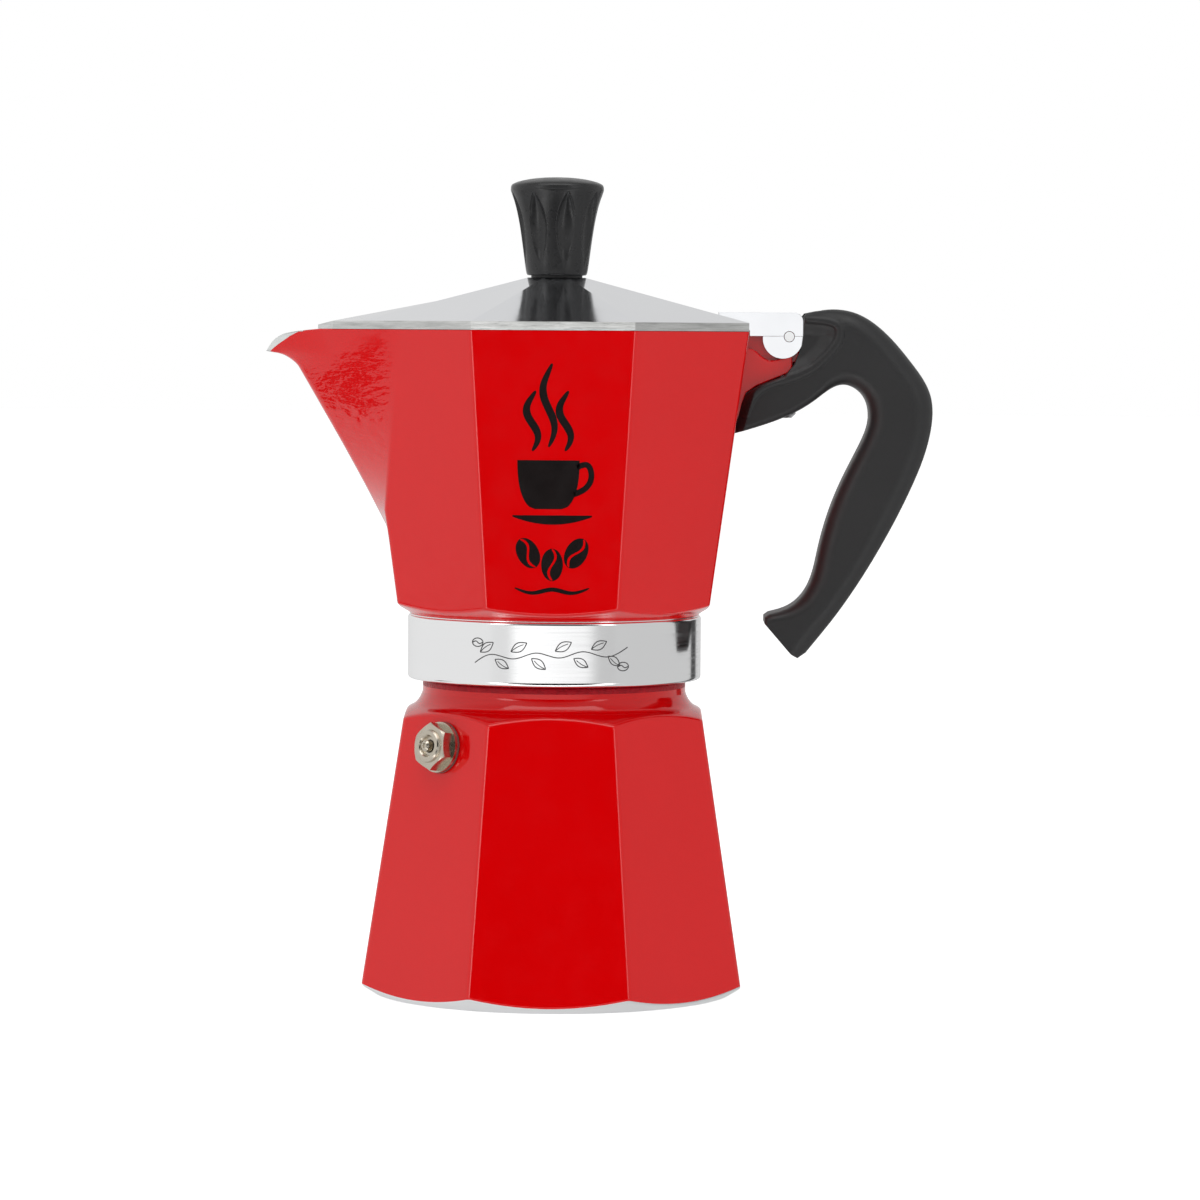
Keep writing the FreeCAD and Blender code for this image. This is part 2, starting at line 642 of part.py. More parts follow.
def lid_shell():
    """The lid's roof without its hinge: octagonal pyramid and beak, hollow below."""
    edge_z = RIM_Z + LID_LIP
    soft = [CORNER_SOFTNESS] * SIDES
    hub = octagon(LID_HUB_R)
    roof = ruled([soft_wire(octagon(LID_R), edge_z, soft), soft_wire(hub, LID_HUB_Z, soft)])
    skirt = ruled([soft_wire(octagon(LID_R), z, soft) for z in (RIM_Z, edge_z)])
    outside = roof.fuse(skirt).fuse(beak_roof(0.0, 0.0))
    inner_edge = edge_z - 1.4
    under = ruled([
        soft_wire(octagon(LID_R - LID_EDGE_T), RIM_Z - 1, soft),
        soft_wire(octagon(LID_R - LID_EDGE_T), inner_edge, soft),
        soft_wire(octagon(LID_HUB_R), LID_HUB_Z - LID_T, soft),
    ])
    return outside.cut(under).cut(beak_roof(LID_EDGE_T, LID_T))


def hinge_channel():
    """Folded channel at the back of the lid: a top plate and two ears for the pin."""
    rear = CHANNEL_REAR_X
    top = CHANNEL_TOP_Z
    outline = [
        (42.0, 178.8), (49.0, RIM_Z + 0.3), (51.1, RIM_Z + 0.3), (51.1, EAR_SKIRT_Z), (rear, EAR_SKIRT_Z),
        (rear, top - 2.4), (rear - 0.7, top - 0.7), (rear - 2.4, top), (42.0, top),
    ]
    block = plate_xz(outline, EAR_OUTER).fuse(cross_bar(*EAR_LOBE, EAR_OUTER))
    inside = Part.makeBox(40.0, 2 * EAR_INNER, top - CHANNEL_T - 160.0, V(40.0, -EAR_INNER, 160.0))
    return block.cut(inside)


def lid():
    """Hinged lid."""
    knob_hole = Part.makeCylinder(SCREW_R + 0.1, 10.0, V(0, 0, LID_HUB_Z - 5.0))
    ear_holes = cross_bar(HINGE_X, HINGE_Z, PIN_R + PIN_FIT, EAR_OUTER + 1)
    return lid_shell().fuse(hinge_channel()).cut(knob_hole).cut(ear_holes).removeSplitter()


def knob_spacer():
    """Thin washer that keeps the plastic knob off the hot lid."""
    return turned([
        (SCREW_R + 0.1, LID_HUB_Z), (6.8, LID_HUB_Z), (6.8, KNOB_FOOT_Z), (SCREW_R + 0.1, KNOB_FOOT_Z),
    ])


def lid_knob():
    """Flared knob with tapering flutes and a domed top."""
    body = turned([
        (0, KNOB_FOOT_Z), (7.6, KNOB_FOOT_Z), (7.94, KNOB_FOOT_Z + 0.4), (8.4, 193.2), (8.75, 196.4),
        (9.2, 200.0), (9.8, 203.8), (10.45, 207.0), (11.2, 209.6), (12.0, 211.6), (12.35, 212.7),
        (12.3, 213.4), (11.9, 214.1), (10.5, 214.8), (7.5, 215.5), (3.8, 215.9), (0, 216.0),
    ])
    low = V(11.3, 0, 196.5)
    high = V(12.9, 0, 212.0)
    flute = Part.makeCone(4.0, 1.3, (high - low).Length, low, high - low).fuse(Part.makeSphere(4.0, low))
    for k in range(KNOB_FLUTES):
        cutter = flute.copy()
        cutter.rotate(V(0, 0, 0), V(0, 0, 1), KNOB_PHASE + k * 360.0 / KNOB_FLUTES)
        body = body.cut(cutter)
    core = Part.makeCylinder(INSERT_R, INSERT_Z[1] - KNOB_FOOT_Z + 1, V(0, 0, KNOB_FOOT_Z - 1))
    return body.cut(core).removeSplitter()


def knob_insert():
    """Threaded brass insert moulded into the knob, with two keying grooves."""
    low, high = INSERT_Z
    groove = INSERT_R - 0.5
    return turned([
        (SCREW_R, low), (INSERT_R, low), (INSERT_R, low + 3), (groove, low + 3), (groove, low + 4.5),
        (INSERT_R, low + 4.5), (INSERT_R, high - 4.5), (groove, high - 4.5), (groove, high - 3),
        (INSERT_R, high - 3), (INSERT_R, high), (SCREW_R, high),
    ])


def knob_screw():
    """Screw up through the lid's hub into the knob's insert."""
    return screw(LID_HUB_Z - LID_T, 200.5)


# ---- files --------------------------------------------------------------------------


def save(name, shape):
    """Writes one piece and says what it holds."""
    if not shape.isValid():
        print(name, "is not valid")
    shape.exportStep(f"parts/{name}.step")
    print(f"{name:18s} solids {len(shape.Solids)} volume {shape.Volume:10.1f}")


PIECES = [
    boiler, valve_body, valve_washer, valve_plunger, plunger_seal, valve_spring, valve_retainer,
    funnel_basket, funnel_tube, funnel_strainer, gasket, filter_plate, collector, riser_column, hinge_pin,
    handle, handle_screw, lid, knob_spacer, lid_knob, knob_insert, knob_screw,
]


def main():
    os.makedirs("parts", exist_ok=True)
    for piece in PIECES:
        save(piece.__name__, piece())


main()
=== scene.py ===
import math

import bmesh
import bpy
import numpy as np
from mathutils import Matrix, Vector


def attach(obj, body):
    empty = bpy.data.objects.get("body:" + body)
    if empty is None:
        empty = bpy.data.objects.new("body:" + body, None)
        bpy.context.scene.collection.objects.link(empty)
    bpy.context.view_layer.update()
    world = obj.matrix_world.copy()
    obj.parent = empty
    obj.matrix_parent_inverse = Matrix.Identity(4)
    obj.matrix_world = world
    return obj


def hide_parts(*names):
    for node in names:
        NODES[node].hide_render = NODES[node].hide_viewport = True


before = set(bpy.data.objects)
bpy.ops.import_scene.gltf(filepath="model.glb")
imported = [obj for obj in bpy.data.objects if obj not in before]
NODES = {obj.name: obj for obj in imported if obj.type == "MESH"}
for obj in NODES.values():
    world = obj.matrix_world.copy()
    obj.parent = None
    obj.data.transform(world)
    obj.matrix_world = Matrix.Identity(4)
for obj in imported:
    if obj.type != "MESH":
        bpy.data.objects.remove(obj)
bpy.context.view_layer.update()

# ---- dimensions, in millimetres unless a name says otherwise ----

MM = 0.001
SIDES = 8
STEP = math.tau / SIDES
COS_HALF = math.cos(STEP / 2)
EDGE_EASE = 0.75
POT_EDGE_EASE = 0.9

BOILER_BASE_R = 54.42
BOILER_TAPER = 0.1617
BASE_FACE_R = 47.7
BASE_BEVEL_SLOPE = 0.617
BOILER_WALL = 3.0
SHOULDER_Z = 75.5
SHOULDER_R = 38.6
SHOULDER_SLOPE = 21.4 / 11
BASE_EASE = 0.9
SHOULDER_EASE = 1.1
NECK_BORE_R = 31.0
NECK_ROOT_R = 33.7
NECK_PAINTED_SHADE_Z = 81.0
NECK_TOP_Z = 93.0

THREAD_PITCH = 3.0
THREAD_DEPTH = 1.0
THREAD_TURNS = 2.1
NECK_THREAD_Z = 84.4
COLLAR_THREAD_Z = 85.9

COLLAR_R = 38.9
COLLAR_BOTTOM_Z = 83.2
COLLAR_BORE_R = 36.1
PAINT_START_Z = 100.25
FLARE_TOP_Z = 103.5
FLARE_TOP_R = 44.4
FLARE_SLOPE = 65.6 / 27.8
POT_BASE_R = 44.6
POT_BASE_Z = 105.0
POT_FLARE = 0.147
POT_WALL = 2.4
RIM_Z = 175.5
SPOUT_ROOT_Z = 120.9
SPOUT_CORNER_Z = 128.2
SPOUT_WALL_RATE = 0.2247
NOSE_SLOPE = 0.597
NOSE_X = -70.0
NOSE_Z = 165.5
NOSE_EASE = 4.5
LIP_END_X = -62.0
LIP_HALF = 13.0
LIP_BLEND = 3.2

HINGE_X = 61.6
HINGE_Z = 174.2
PIN_R = 1.3
LUG_HALF = 4.9
PLATE_HALF = 5.9
EAR_LOBE = (59.9, 173.7, 5.3)
EAR_INNER = 5.3
EAR_OUTER = 6.5
POCKET_R = 8.3
POCKET_HALF = 6.9
POCKET_NOTCH = [(61.6, 176.9), (69.5, 176.9), (70.9, 182.9), (61.6, 182.9)]
CHANNEL_TOP_Z = 180.6
CHANNEL_T = 1.2
CHANNEL_REAR_X = 65.3
EAR_SKIRT_Z = 174.3

LID_R = 54.86
LID_LIP = 2.2
LID_HUB_R = 8.2
LID_HUB_Z = 189.4
LID_T = 2.1
LID_EDGE_T = 2.4

HANDLE_HALF = 9.5
SCREW_X = 60.0
SCREW_BORE_R = 3.8
BEAD_RISE = 0.75
BEAD_HALF = 1.35
SCOOP_DEPTH = 1.7

# ---- curves and mesh helpers ----


def smooth(xs, ys):
    """A monotone curve through points, as a function of x."""
    xs = np.array(xs, float)
    ys = np.array(ys, float)
    width = np.diff(xs)
    slope = np.diff(ys) / width
    product = slope[:-1] * slope[1:]
    total = np.where(product > 0, slope[:-1] + slope[1:], 1.0)
    tangent = np.concatenate([[slope[0]], np.where(product > 0, 2 * product / total, 0.0), [slope[-1]]])

    def at(x):
        x = np.clip(np.asarray(x, float), xs[0], xs[-1])
        k = np.clip(np.searchsorted(xs, x) - 1, 0, len(width) - 1)
        t = (x - xs[k]) / width[k]
        return (
            (2 * t**3 - 3 * t**2 + 1) * ys[k]
            + (t**3 - 2 * t**2 + t) * width[k] * tangent[k]
            + (3 * t**2 - 2 * t**3) * ys[k + 1]
            + (t**3 - t**2) * width[k] * tangent[k + 1]
        )

    return at


def smooth_line(points, per_mm=4.0):
    """Many points on a natural cubic spline through 2-D points."""
    points = np.array(points, float)
    count = len(points)
    at = np.concatenate([[0], np.cumsum(np.linalg.norm(np.diff(points, axis=0), axis=1))])
    h = np.diff(at)
    system = np.zeros((count, count))
    right = np.zeros((count, 2))
    system[0, 0] = system[-1, -1] = 1.0
    for k in range(1, count - 1):
        system[k, k - 1 : k + 2] = h[k - 1], 2 * (h[k - 1] + h[k]), h[k]
        right[k] = 6 * ((points[k + 1] - points[k]) / h[k] - (points[k] - points[k - 1]) / h[k - 1])
    bend = np.linalg.solve(system, right)
    s = np.linspace(0, at[-1], max(8, int(at[-1] * per_mm)))
    k = np.clip(np.searchsorted(at, s) - 1, 0, count - 2)
    a = ((at[k + 1] - s) / h[k])[:, None]
    b = 1 - a
    span = (h[k] ** 2 / 6)[:, None]
    return a * points[k] + b * points[k + 1] + ((a**3 - a) * bend[k] + (b**3 - b) * bend[k + 1]) * span


def soft_min(a, b, width):
    """The smaller of two numbers, eased over a width where they meet."""
    share = np.clip(width - np.abs(a - b), 0, None) / width
    return np.minimum(a, b) - share * share * width / 4


def step_between(x, low, high):
    """0 below low, 1 above high, smooth between."""
    t = np.clip((x - low) / (high - low), 0, 1)
    return t * t * (3 - 2 * t)


def meeting(low, high, rising):
    """Where a rising function of height changes sign, for each column."""
    low = np.array(low, float)
    high = np.array(high, float)
    for _ in range(36):
        middle = (low + high) / 2
        above = rising(middle) > 0
        high = np.where(above, middle, high)
        low = np.where(above, low, middle)
    return (low + high) / 2


def shade_smooth(mesh):
    mesh.polygons.foreach_set("use_smooth", [True] * len(mesh.polygons))


def piece(name, points, faces, materials, body, kinds=None):
    """A mesh object from points in millimetres, riding on a body."""
    mesh = bpy.data.meshes.new(name)
    mesh.from_pydata((np.asarray(points, float) * MM).tolist(), [], faces)
    for material in materials:
        mesh.materials.append(material)
    if kinds is not None:
        mesh.polygons.foreach_set("material_index", np.asarray(kinds, np.int32))
    shade_smooth(mesh)
    mesh.update()
    made = bpy.data.objects.new(name, mesh)
    bpy.context.scene.collection.objects.link(made)
    if body:
        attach(made, body)
    return made


def shell(name, rows, materials, body, kinds):
    """A closed skin through rings of points, rising outside and falling inside."""
    columns = len(rows[0])
    points = np.concatenate(rows)
    faces = []
    marks = []
    for r in range(len(rows) - 1):
        for c in range(columns):
            d = (c + 1) % columns
            faces.append((r * columns + c, r * columns + d, (r + 1) * columns + d, (r + 1) * columns + c))
            marks.append(int(kinds[r][c]) if np.ndim(kinds[r]) else int(kinds[r]))
    faces.append(tuple(range(columns))[::-1])
    faces.append(tuple((len(rows) - 1) * columns + c for c in range(columns)))
    marks += [marks[0], marks[-1]]
    return piece(name, points, faces, materials, body, marks)


def ring(radius, z, azimuth):
    """Points round the axis at these radii and heights."""
    z = np.broadcast_to(z, azimuth.shape)
    return np.stack([radius * np.cos(azimuth), radius * np.sin(azimuth), z], 1)


def sharpen(mesh, degrees):
    """Marks every edge that turns more than an angle as sharp."""
    bm = bmesh.new()
    bm.from_mesh(mesh)
    limit = math.radians(degrees)
    for edge in bm.edges:
        edge.smooth = len(edge.link_faces) == 2 and edge.calc_face_angle(0.0) < limit
    bm.to_mesh(mesh)
    bm.free()


def settle(made):
    """Turns an object's modifiers into its mesh."""
    bpy.context.view_layer.update()
    evaluated = made.evaluated_get(bpy.context.evaluated_depsgraph_get())
    mesh = bpy.data.meshes.new_from_object(evaluated)
    made.modifiers.clear()
    made.data = mesh


def combine(made, tool, operation):
    """Adds or removes a tool solid."""
    change = made.modifiers.new(operation, "BOOLEAN")
    change.operation = operation
    change.object = tool
    change.solver = "EXACT"
    settle(made)
    bpy.data.objects.remove(tool)


def soften(made, width, segments=3, degrees=20.0):
    """Rounds the edges that turn more than an angle, keeping flat faces flat."""
    bevel = made.modifiers.new("soft_edges", "BEVEL")
    bevel.width = width * MM
    bevel.segments = segments
    bevel.limit_method = "ANGLE"
    bevel.angle_limit = math.radians(degrees)
    bevel.harden_normals = True
    bevel.use_clamp_overlap = True


def prism(name, outline, half, materials=(), body=None):
    """A plate across Y = 0 from an outline of (x, z)."""
    count = len(outline)
    points = [(x, -half, z) for x, z in outline] + [(x, half, z) for x, z in outline]
    area = sum(
        outline[k - 1][0] * outline[k][1] - outline[k][0] * outline[k - 1][1] for k in range(count)
    )
    faces = [tuple(range(count)), tuple(range(2 * count - 1, count - 1, -1))]
    faces += [(k, k + count, (k + 1) % count + count, (k + 1) % count) for k in range(count)]
    if area < 0:
        faces = [f[::-1] for f in faces]
    return piece(name, points, faces, list(materials), body)


def arc(x, z, radius, start, end, count):
    """Points of a circle in the (x, z) plane, from one angle to another in degrees."""
    return [
        (x + radius * math.cos(math.radians(a)), z + radius * math.sin(math.radians(a)))
        for a in np.linspace(start, end, count)
    ]


# ---- materials ----


class Nodes:
    """Short ways to add nodes to a tree."""

    def __init__(self, owner):
        owner.use_nodes = True
        self.tree = owner.node_tree

    def add(self, kind, **settings):
        node = self.tree.nodes.new(kind)
        for key, value in settings.items():
            setattr(node, key, value)
        return node

    def link(self, source, target):
        self.tree.links.new(source, target)

    def math(self, operation, *values):
        node = self.add("ShaderNodeMath", operation=operation)
        for k, value in enumerate(values):
            if isinstance(value, (int, float)):
                node.inputs[k].default_value = value
            else:
                self.link(value, node.inputs[k])
        return node.outputs[0]

    def between(self, value, low, high, first=0.0, last=1.0):
        """First below low, last above high, and smooth between."""
        node = self.add("ShaderNodeMapRange", interpolation_type="SMOOTHSTEP")
        self.link(value, node.inputs["Value"])
        for key, number in (("From Min", low), ("From Max", high), ("To Min", first), ("To Max", last)):
            node.inputs[key].default_value = number
        return node.outputs[0]

    def axes(self, place):
        node = self.add("ShaderNodeSeparateXYZ")
        self.link(place, node.inputs[0])
        return node.outputs


class Finish(Nodes):
    """A node material around one Principled shader."""

    def __init__(self, name, **values):
        self.material = bpy.data.materials.new(name)
        super().__init__(self.material)
        self.shader = self.tree.nodes["Principled BSDF"]
        for key, value in values.items():
            self.shader.inputs[key.replace("_", " ")].default_value = value
        self.place = self.add("ShaderNodeTexCoord").outputs["Object"]

    def noise(self, scale, detail=3.0, stretch=(1, 1, 1), rough=0.5):
        mapping = self.add("ShaderNodeMapping")
        mapping.inputs["Scale"].default_value = stretch
        self.link(self.place, mapping.inputs["Vector"])
        node = self.add("ShaderNodeTexNoise")
        node.inputs["Scale"].default_value = scale
        node.inputs["Detail"].default_value = detail
        node.inputs["Roughness"].default_value = rough
        self.link(mapping.outputs[0], node.inputs["Vector"])
        return node.outputs[0]

    def colours(self, value, first, last):
        node = self.add("ShaderNodeMix", data_type="RGBA")
        self.link(value, node.inputs[0])
        node.inputs[6].default_value = (*first, 1)
        node.inputs[7].default_value = (*last, 1)
        self.link(node.outputs[2], self.shader.inputs["Base Color"])

    def roughness(self, value, low, high):
        self.link(self.between(value, 0.25, 0.75, low, high), self.shader.inputs["Roughness"])

    def bump(self, height, distance, strength):
        node = self.add("ShaderNodeBump")
        node.inputs["Distance"].default_value = distance
        if isinstance(strength, (int, float)):
            node.inputs["Strength"].default_value = strength
        else:
            self.link(strength, node.inputs["Strength"])
        self.link(height, node.inputs["Height"])
        self.link(node.outputs[0], self.shader.inputs["Normal"])

    def brushed(self, amount):
        self.shader.inputs["Anisotropic"].default_value = amount
        tangent = self.add("ShaderNodeTangent", direction_type="RADIAL", axis="Z")
        self.link(tangent.outputs[0], self.shader.inputs["Tangent"])


def red_enamel():
    """Baked red enamel, with orange peel on the spout's two walls."""
    f = Finish("red_enamel", Roughness=0.08, IOR=1.5)
    x, y, z = f.axes(f.place)
    f.colours(f.noise(38.0, 4.0), (0.478, 0.0, 0.0005), (0.508, 0.0003, 0.0014))
    f.roughness(f.noise(160.0, 3.0), 0.06, 0.11)
    edge = f.math("SUBTRACT", f.math("ABSOLUTE", y), f.math("MULTIPLY", z, 0.281))
    wall = f.math("MULTIPLY", f.between(x, -0.034, -0.038, 0, 1), f.between(edge, -0.0195, -0.0180, 1, 0))
    high = f.math("MULTIPLY", f.between(z, 0.134, 0.150, 0.2, 1), f.between(z, 0.173, 0.160, 0.1, 1))
    peel = f.math("MULTIPLY", wall, high)
    f.bump(f.noise(400.0, 2.5, (0.5, 0.5, 1.5)), 0.0006, f.math("MULTIPLY", f.math("ADD", peel, 0.05), 0.4))
    return f.material


def neck_enamel_painted_shade():
    """Thin enamel over the rough casting of the boiler's neck: the fine speckle is the casting, and the
    darker colour is painted shade under the collar.
    """
    f = Finish("neck_enamel_painted_shade", IOR=1.4, Specular_IOR_Level=0.25)
    # Painted shade: the dark end of this colour stands for the shadow the collar casts on the neck.
    f.colours(f.noise(900.0, 3.0, (1, 1, 1), 0.7), (0.10, 0.0, 0.002), (0.46, 0.002, 0.012))
    f.roughness(f.noise(500.0, 3.0), 0.25, 0.4)
    f.bump(f.noise(1100.0, 3.0), 0.0004, 0.5)
    return f.material


def turned_metal(name, low, high, rough, grain):
    """Bare aluminium with circular tool marks."""
    f = Finish(name, Metallic=1.0)
    f.colours(f.noise(60.0, 5.0, (0.25, 0.25, 14.0)), low, high)
    f.roughness(f.noise(90.0, 4.0, (0.3, 0.3, 20.0)), rough - 0.05, rough + 0.06)
    f.brushed(0.35)
    f.bump(f.noise(220.0, 4.0, (0.08, 0.08, 30.0), 0.7), 0.00005, grain)
    return f.material


def polished_metal():
    """Buffed aluminium."""
    f = Finish("polished_aluminium", Metallic=1.0)
    f.colours(f.noise(14.0, 5.0), (0.84, 0.853, 0.88), (0.90, 0.908, 0.925))
    f.roughness(f.noise(45.0, 6.0, (1, 1, 1), 0.65), 0.09, 0.16)
    f.bump(f.noise(900.0, 3.0), 0.00002, 0.12)
    return f.material


def lip_metal_painted_reflection():
    """The lid's pressed edge, greyer, with dark and light streaks drawn out along its length that are
    painted reflections.
    """
    f = Finish("lip_aluminium_painted_reflection", Metallic=1.0)
    # Painted reflection: the dark and near-white streaks stand for studio strips seen in the edge.
    f.colours(f.noise(60.0, 5.0, (1.4, 1.4, 18.0), 0.65), (0.24, 0.25, 0.235), (0.98, 0.98, 0.97))
    f.roughness(f.noise(90.0, 4.0, (0.4, 0.4, 12.0)), 0.12, 0.2)
    f.bump(f.noise(260.0, 3.0, (0.6, 0.6, 4.0)), 0.00012, 0.5)
    return f.material


def ground_metal():
    """The lip ground back to bare metal."""
    f = Finish("ground_aluminium", Metallic=1.0)
    f.colours(f.noise(300.0, 4.0, (2.0, 0.4, 0.4)), (0.76, 0.78, 0.77), (0.95, 0.96, 0.95))
    f.roughness(f.noise(200.0, 3.0), 0.3, 0.42)
    f.bump(f.noise(900.0, 3.0, (3.0, 0.4, 0.4)), 0.00004, 0.4)
    return f.material


def cast_metal():
    """As-cast aluminium inside the pot and boiler."""
    f = Finish("cast_aluminium", Metallic=1.0)
    f.colours(f.noise(35.0, 6.0), (0.58, 0.59, 0.6), (0.72, 0.73, 0.74))
    f.roughness(f.noise(80.0, 5.0), 0.38, 0.52)
    f.bump(f.noise(700.0, 4.0), 0.00012, 0.3)
    return f.material


def sheet_metal(name, low, high, rough=0.28):
    """Pressed or rolled metal with a faint grain."""
    f = Finish(name, Metallic=1.0)
    f.colours(f.noise(50.0, 5.0), low, high)
    f.roughness(f.noise(120.0, 4.0), rough - 0.05, rough + 0.07)
    f.bump(f.noise(1100.0, 3.0), 0.00003, 0.3)
    return f.material


def nickel_brass():
    """Nickel-plated brass with a warm tint that varies a little."""
    f = Finish("nickel_brass", Metallic=1.0)
    f.colours(f.noise(240.0, 5.0), (0.50, 0.44, 0.355), (0.66, 0.61, 0.52))
    f.roughness(f.noise(350.0, 4.0), 0.2, 0.34)
    f.bump(f.noise(1500.0, 4.0), 0.00004, 0.4)
    return f.material


def black_plastic(name="black_plastic", low=0.40, high=0.50):
    """Satin black moulded plastic with a fine spark-eroded grain."""
    f = Finish(name, IOR=1.5, Specular_IOR_Level=0.38)
    f.colours(f.noise(30.0, 5.0), (0.0125, 0.0125, 0.013), (0.018, 0.018, 0.0185))
    f.roughness(f.noise(500.0, 3.0), low, high)
    f.bump(f.noise(2600.0, 2.0), 0.00005, 0.3)
    return f.material


def rubber(name, low, high):
    """Silicone or fibre."""
    f = Finish(name, IOR=1.42)
    f.colours(f.noise(90.0, 4.0), low, high)
    f.roughness(f.noise(200.0, 3.0), 0.5, 0.65)
    f.bump(f.noise(1500.0, 3.0), 0.00005, 0.3)
    return f.material


def print_ink():
    """Black stove-enamel print."""
    f = Finish("print_ink", IOR=1.5)
    f.colours(f.noise(200.0, 4.0), (0.006, 0.005, 0.005), (0.012, 0.009, 0.009))
    f.roughness(f.noise(300.0, 3.0), 0.12, 0.2)
    f.bump(f.noise(900.0, 3.0), 0.00003, 0.2)
    return f.material


def engraving_mark():
    """Dark laser marking in the turned metal."""
    f = Finish("engraving_mark", Metallic=0.4)
    f.colours(f.noise(600.0, 4.0), (0.035, 0.035, 0.037), (0.09, 0.09, 0.092))
    f.roughness(f.noise(600.0, 3.0), 0.5, 0.65)
    return f.material


RED = red_enamel()
NECK_RED_PAINTED_SHADE = neck_enamel_painted_shade()
TURNED = turned_metal("turned_aluminium", (0.93, 0.935, 0.94), (0.95, 0.952, 0.955), 0.13, 0.03)
BASE_METAL = turned_metal("base_aluminium", (0.86, 0.87, 0.88), (0.93, 0.935, 0.94), 0.34, 0.4)
POLISHED = polished_metal()
LIP_PAINTED_REFLECTION = lip_metal_painted_reflection()
GROUND = ground_metal()
CAST = cast_metal()
SHEET = sheet_metal("spun_aluminium", (0.72, 0.73, 0.75), (0.82, 0.83, 0.84))
STEEL = sheet_metal("steel", (0.48, 0.48, 0.49), (0.62, 0.62, 0.63), 0.22)
BRIGHT = sheet_metal("bright_steel", (0.82, 0.82, 0.83), (0.92, 0.92, 0.92), 0.18)
SPRING = sheet_metal("spring_steel", (0.40, 0.40, 0.41), (0.52, 0.52, 0.53), 0.3)
NICKEL = nickel_brass()
BRASS = sheet_metal("insert_brass", (0.62, 0.47, 0.22), (0.74, 0.58, 0.30))
BLACK = black_plastic()
KNOB_BLACK = black_plastic("knob_plastic", 0.25, 0.35)
SPACER = black_plastic("spacer_plastic", 0.45, 0.55)
SILICONE = rubber("silicone", (0.72, 0.72, 0.70), (0.80, 0.80, 0.78))
FIBRE = rubber("fibre_washer", (0.10, 0.035, 0.03), (0.16, 0.05, 0.045))
INK = print_ink()
MARK = engraving_mark()

# ---- boiler ----


def octagon_columns():
    """Azimuths round the octagon, close together at its corners."""
    fan = [0, 0.25, 0.5, 0.8, 1.15, 1.6, 2.4, 4, 6, 8, 10, 12, 14, 16, 18, 20.25]
    sector = fan + [22.5] + [45 - a for a in fan[:0:-1]]
    return np.radians([22.5 + 45 * k + a for k in range(SIDES) for a in sector])


def octagon_radius(azimuth, apothem, ease):
    """Distance from the axis to an octagon with eased corners."""
    facet = np.round(azimuth / STEP) * STEP
    near = np.cos(azimuth - facet)
    far = np.cos(np.abs(azimuth - facet) - STEP)
    radius = apothem / near
    for _ in range(5):
        share = np.clip(ease - radius * (near - far), 0, None) / ease
        radius = (apothem - share * share * ease / 4) / near
    return radius


def ridge(azimuth, z, start, turns):
    """How far a helical thread stands out, 0 to 1."""
    turn = azimuth / math.tau % 1.0
    height = np.zeros_like(turn)
    for k in range(int(turns) + 1):
        centre = start + THREAD_PITCH * (turn + k)
        flank = np.clip((0.95 - np.abs(z - centre)) / 0.6, 0, 1)
        ends = np.clip((turns - turn - k) * 12, 0, 1) * np.clip((turn + k) * 12, 0, 1)
        height = np.maximum(height, flank * ends)
    return height


CREASE = [-0.95, -0.65, -0.45, -0.3, -0.15, 0, 0.15, 0.3, 0.45, 0.65, 0.95]


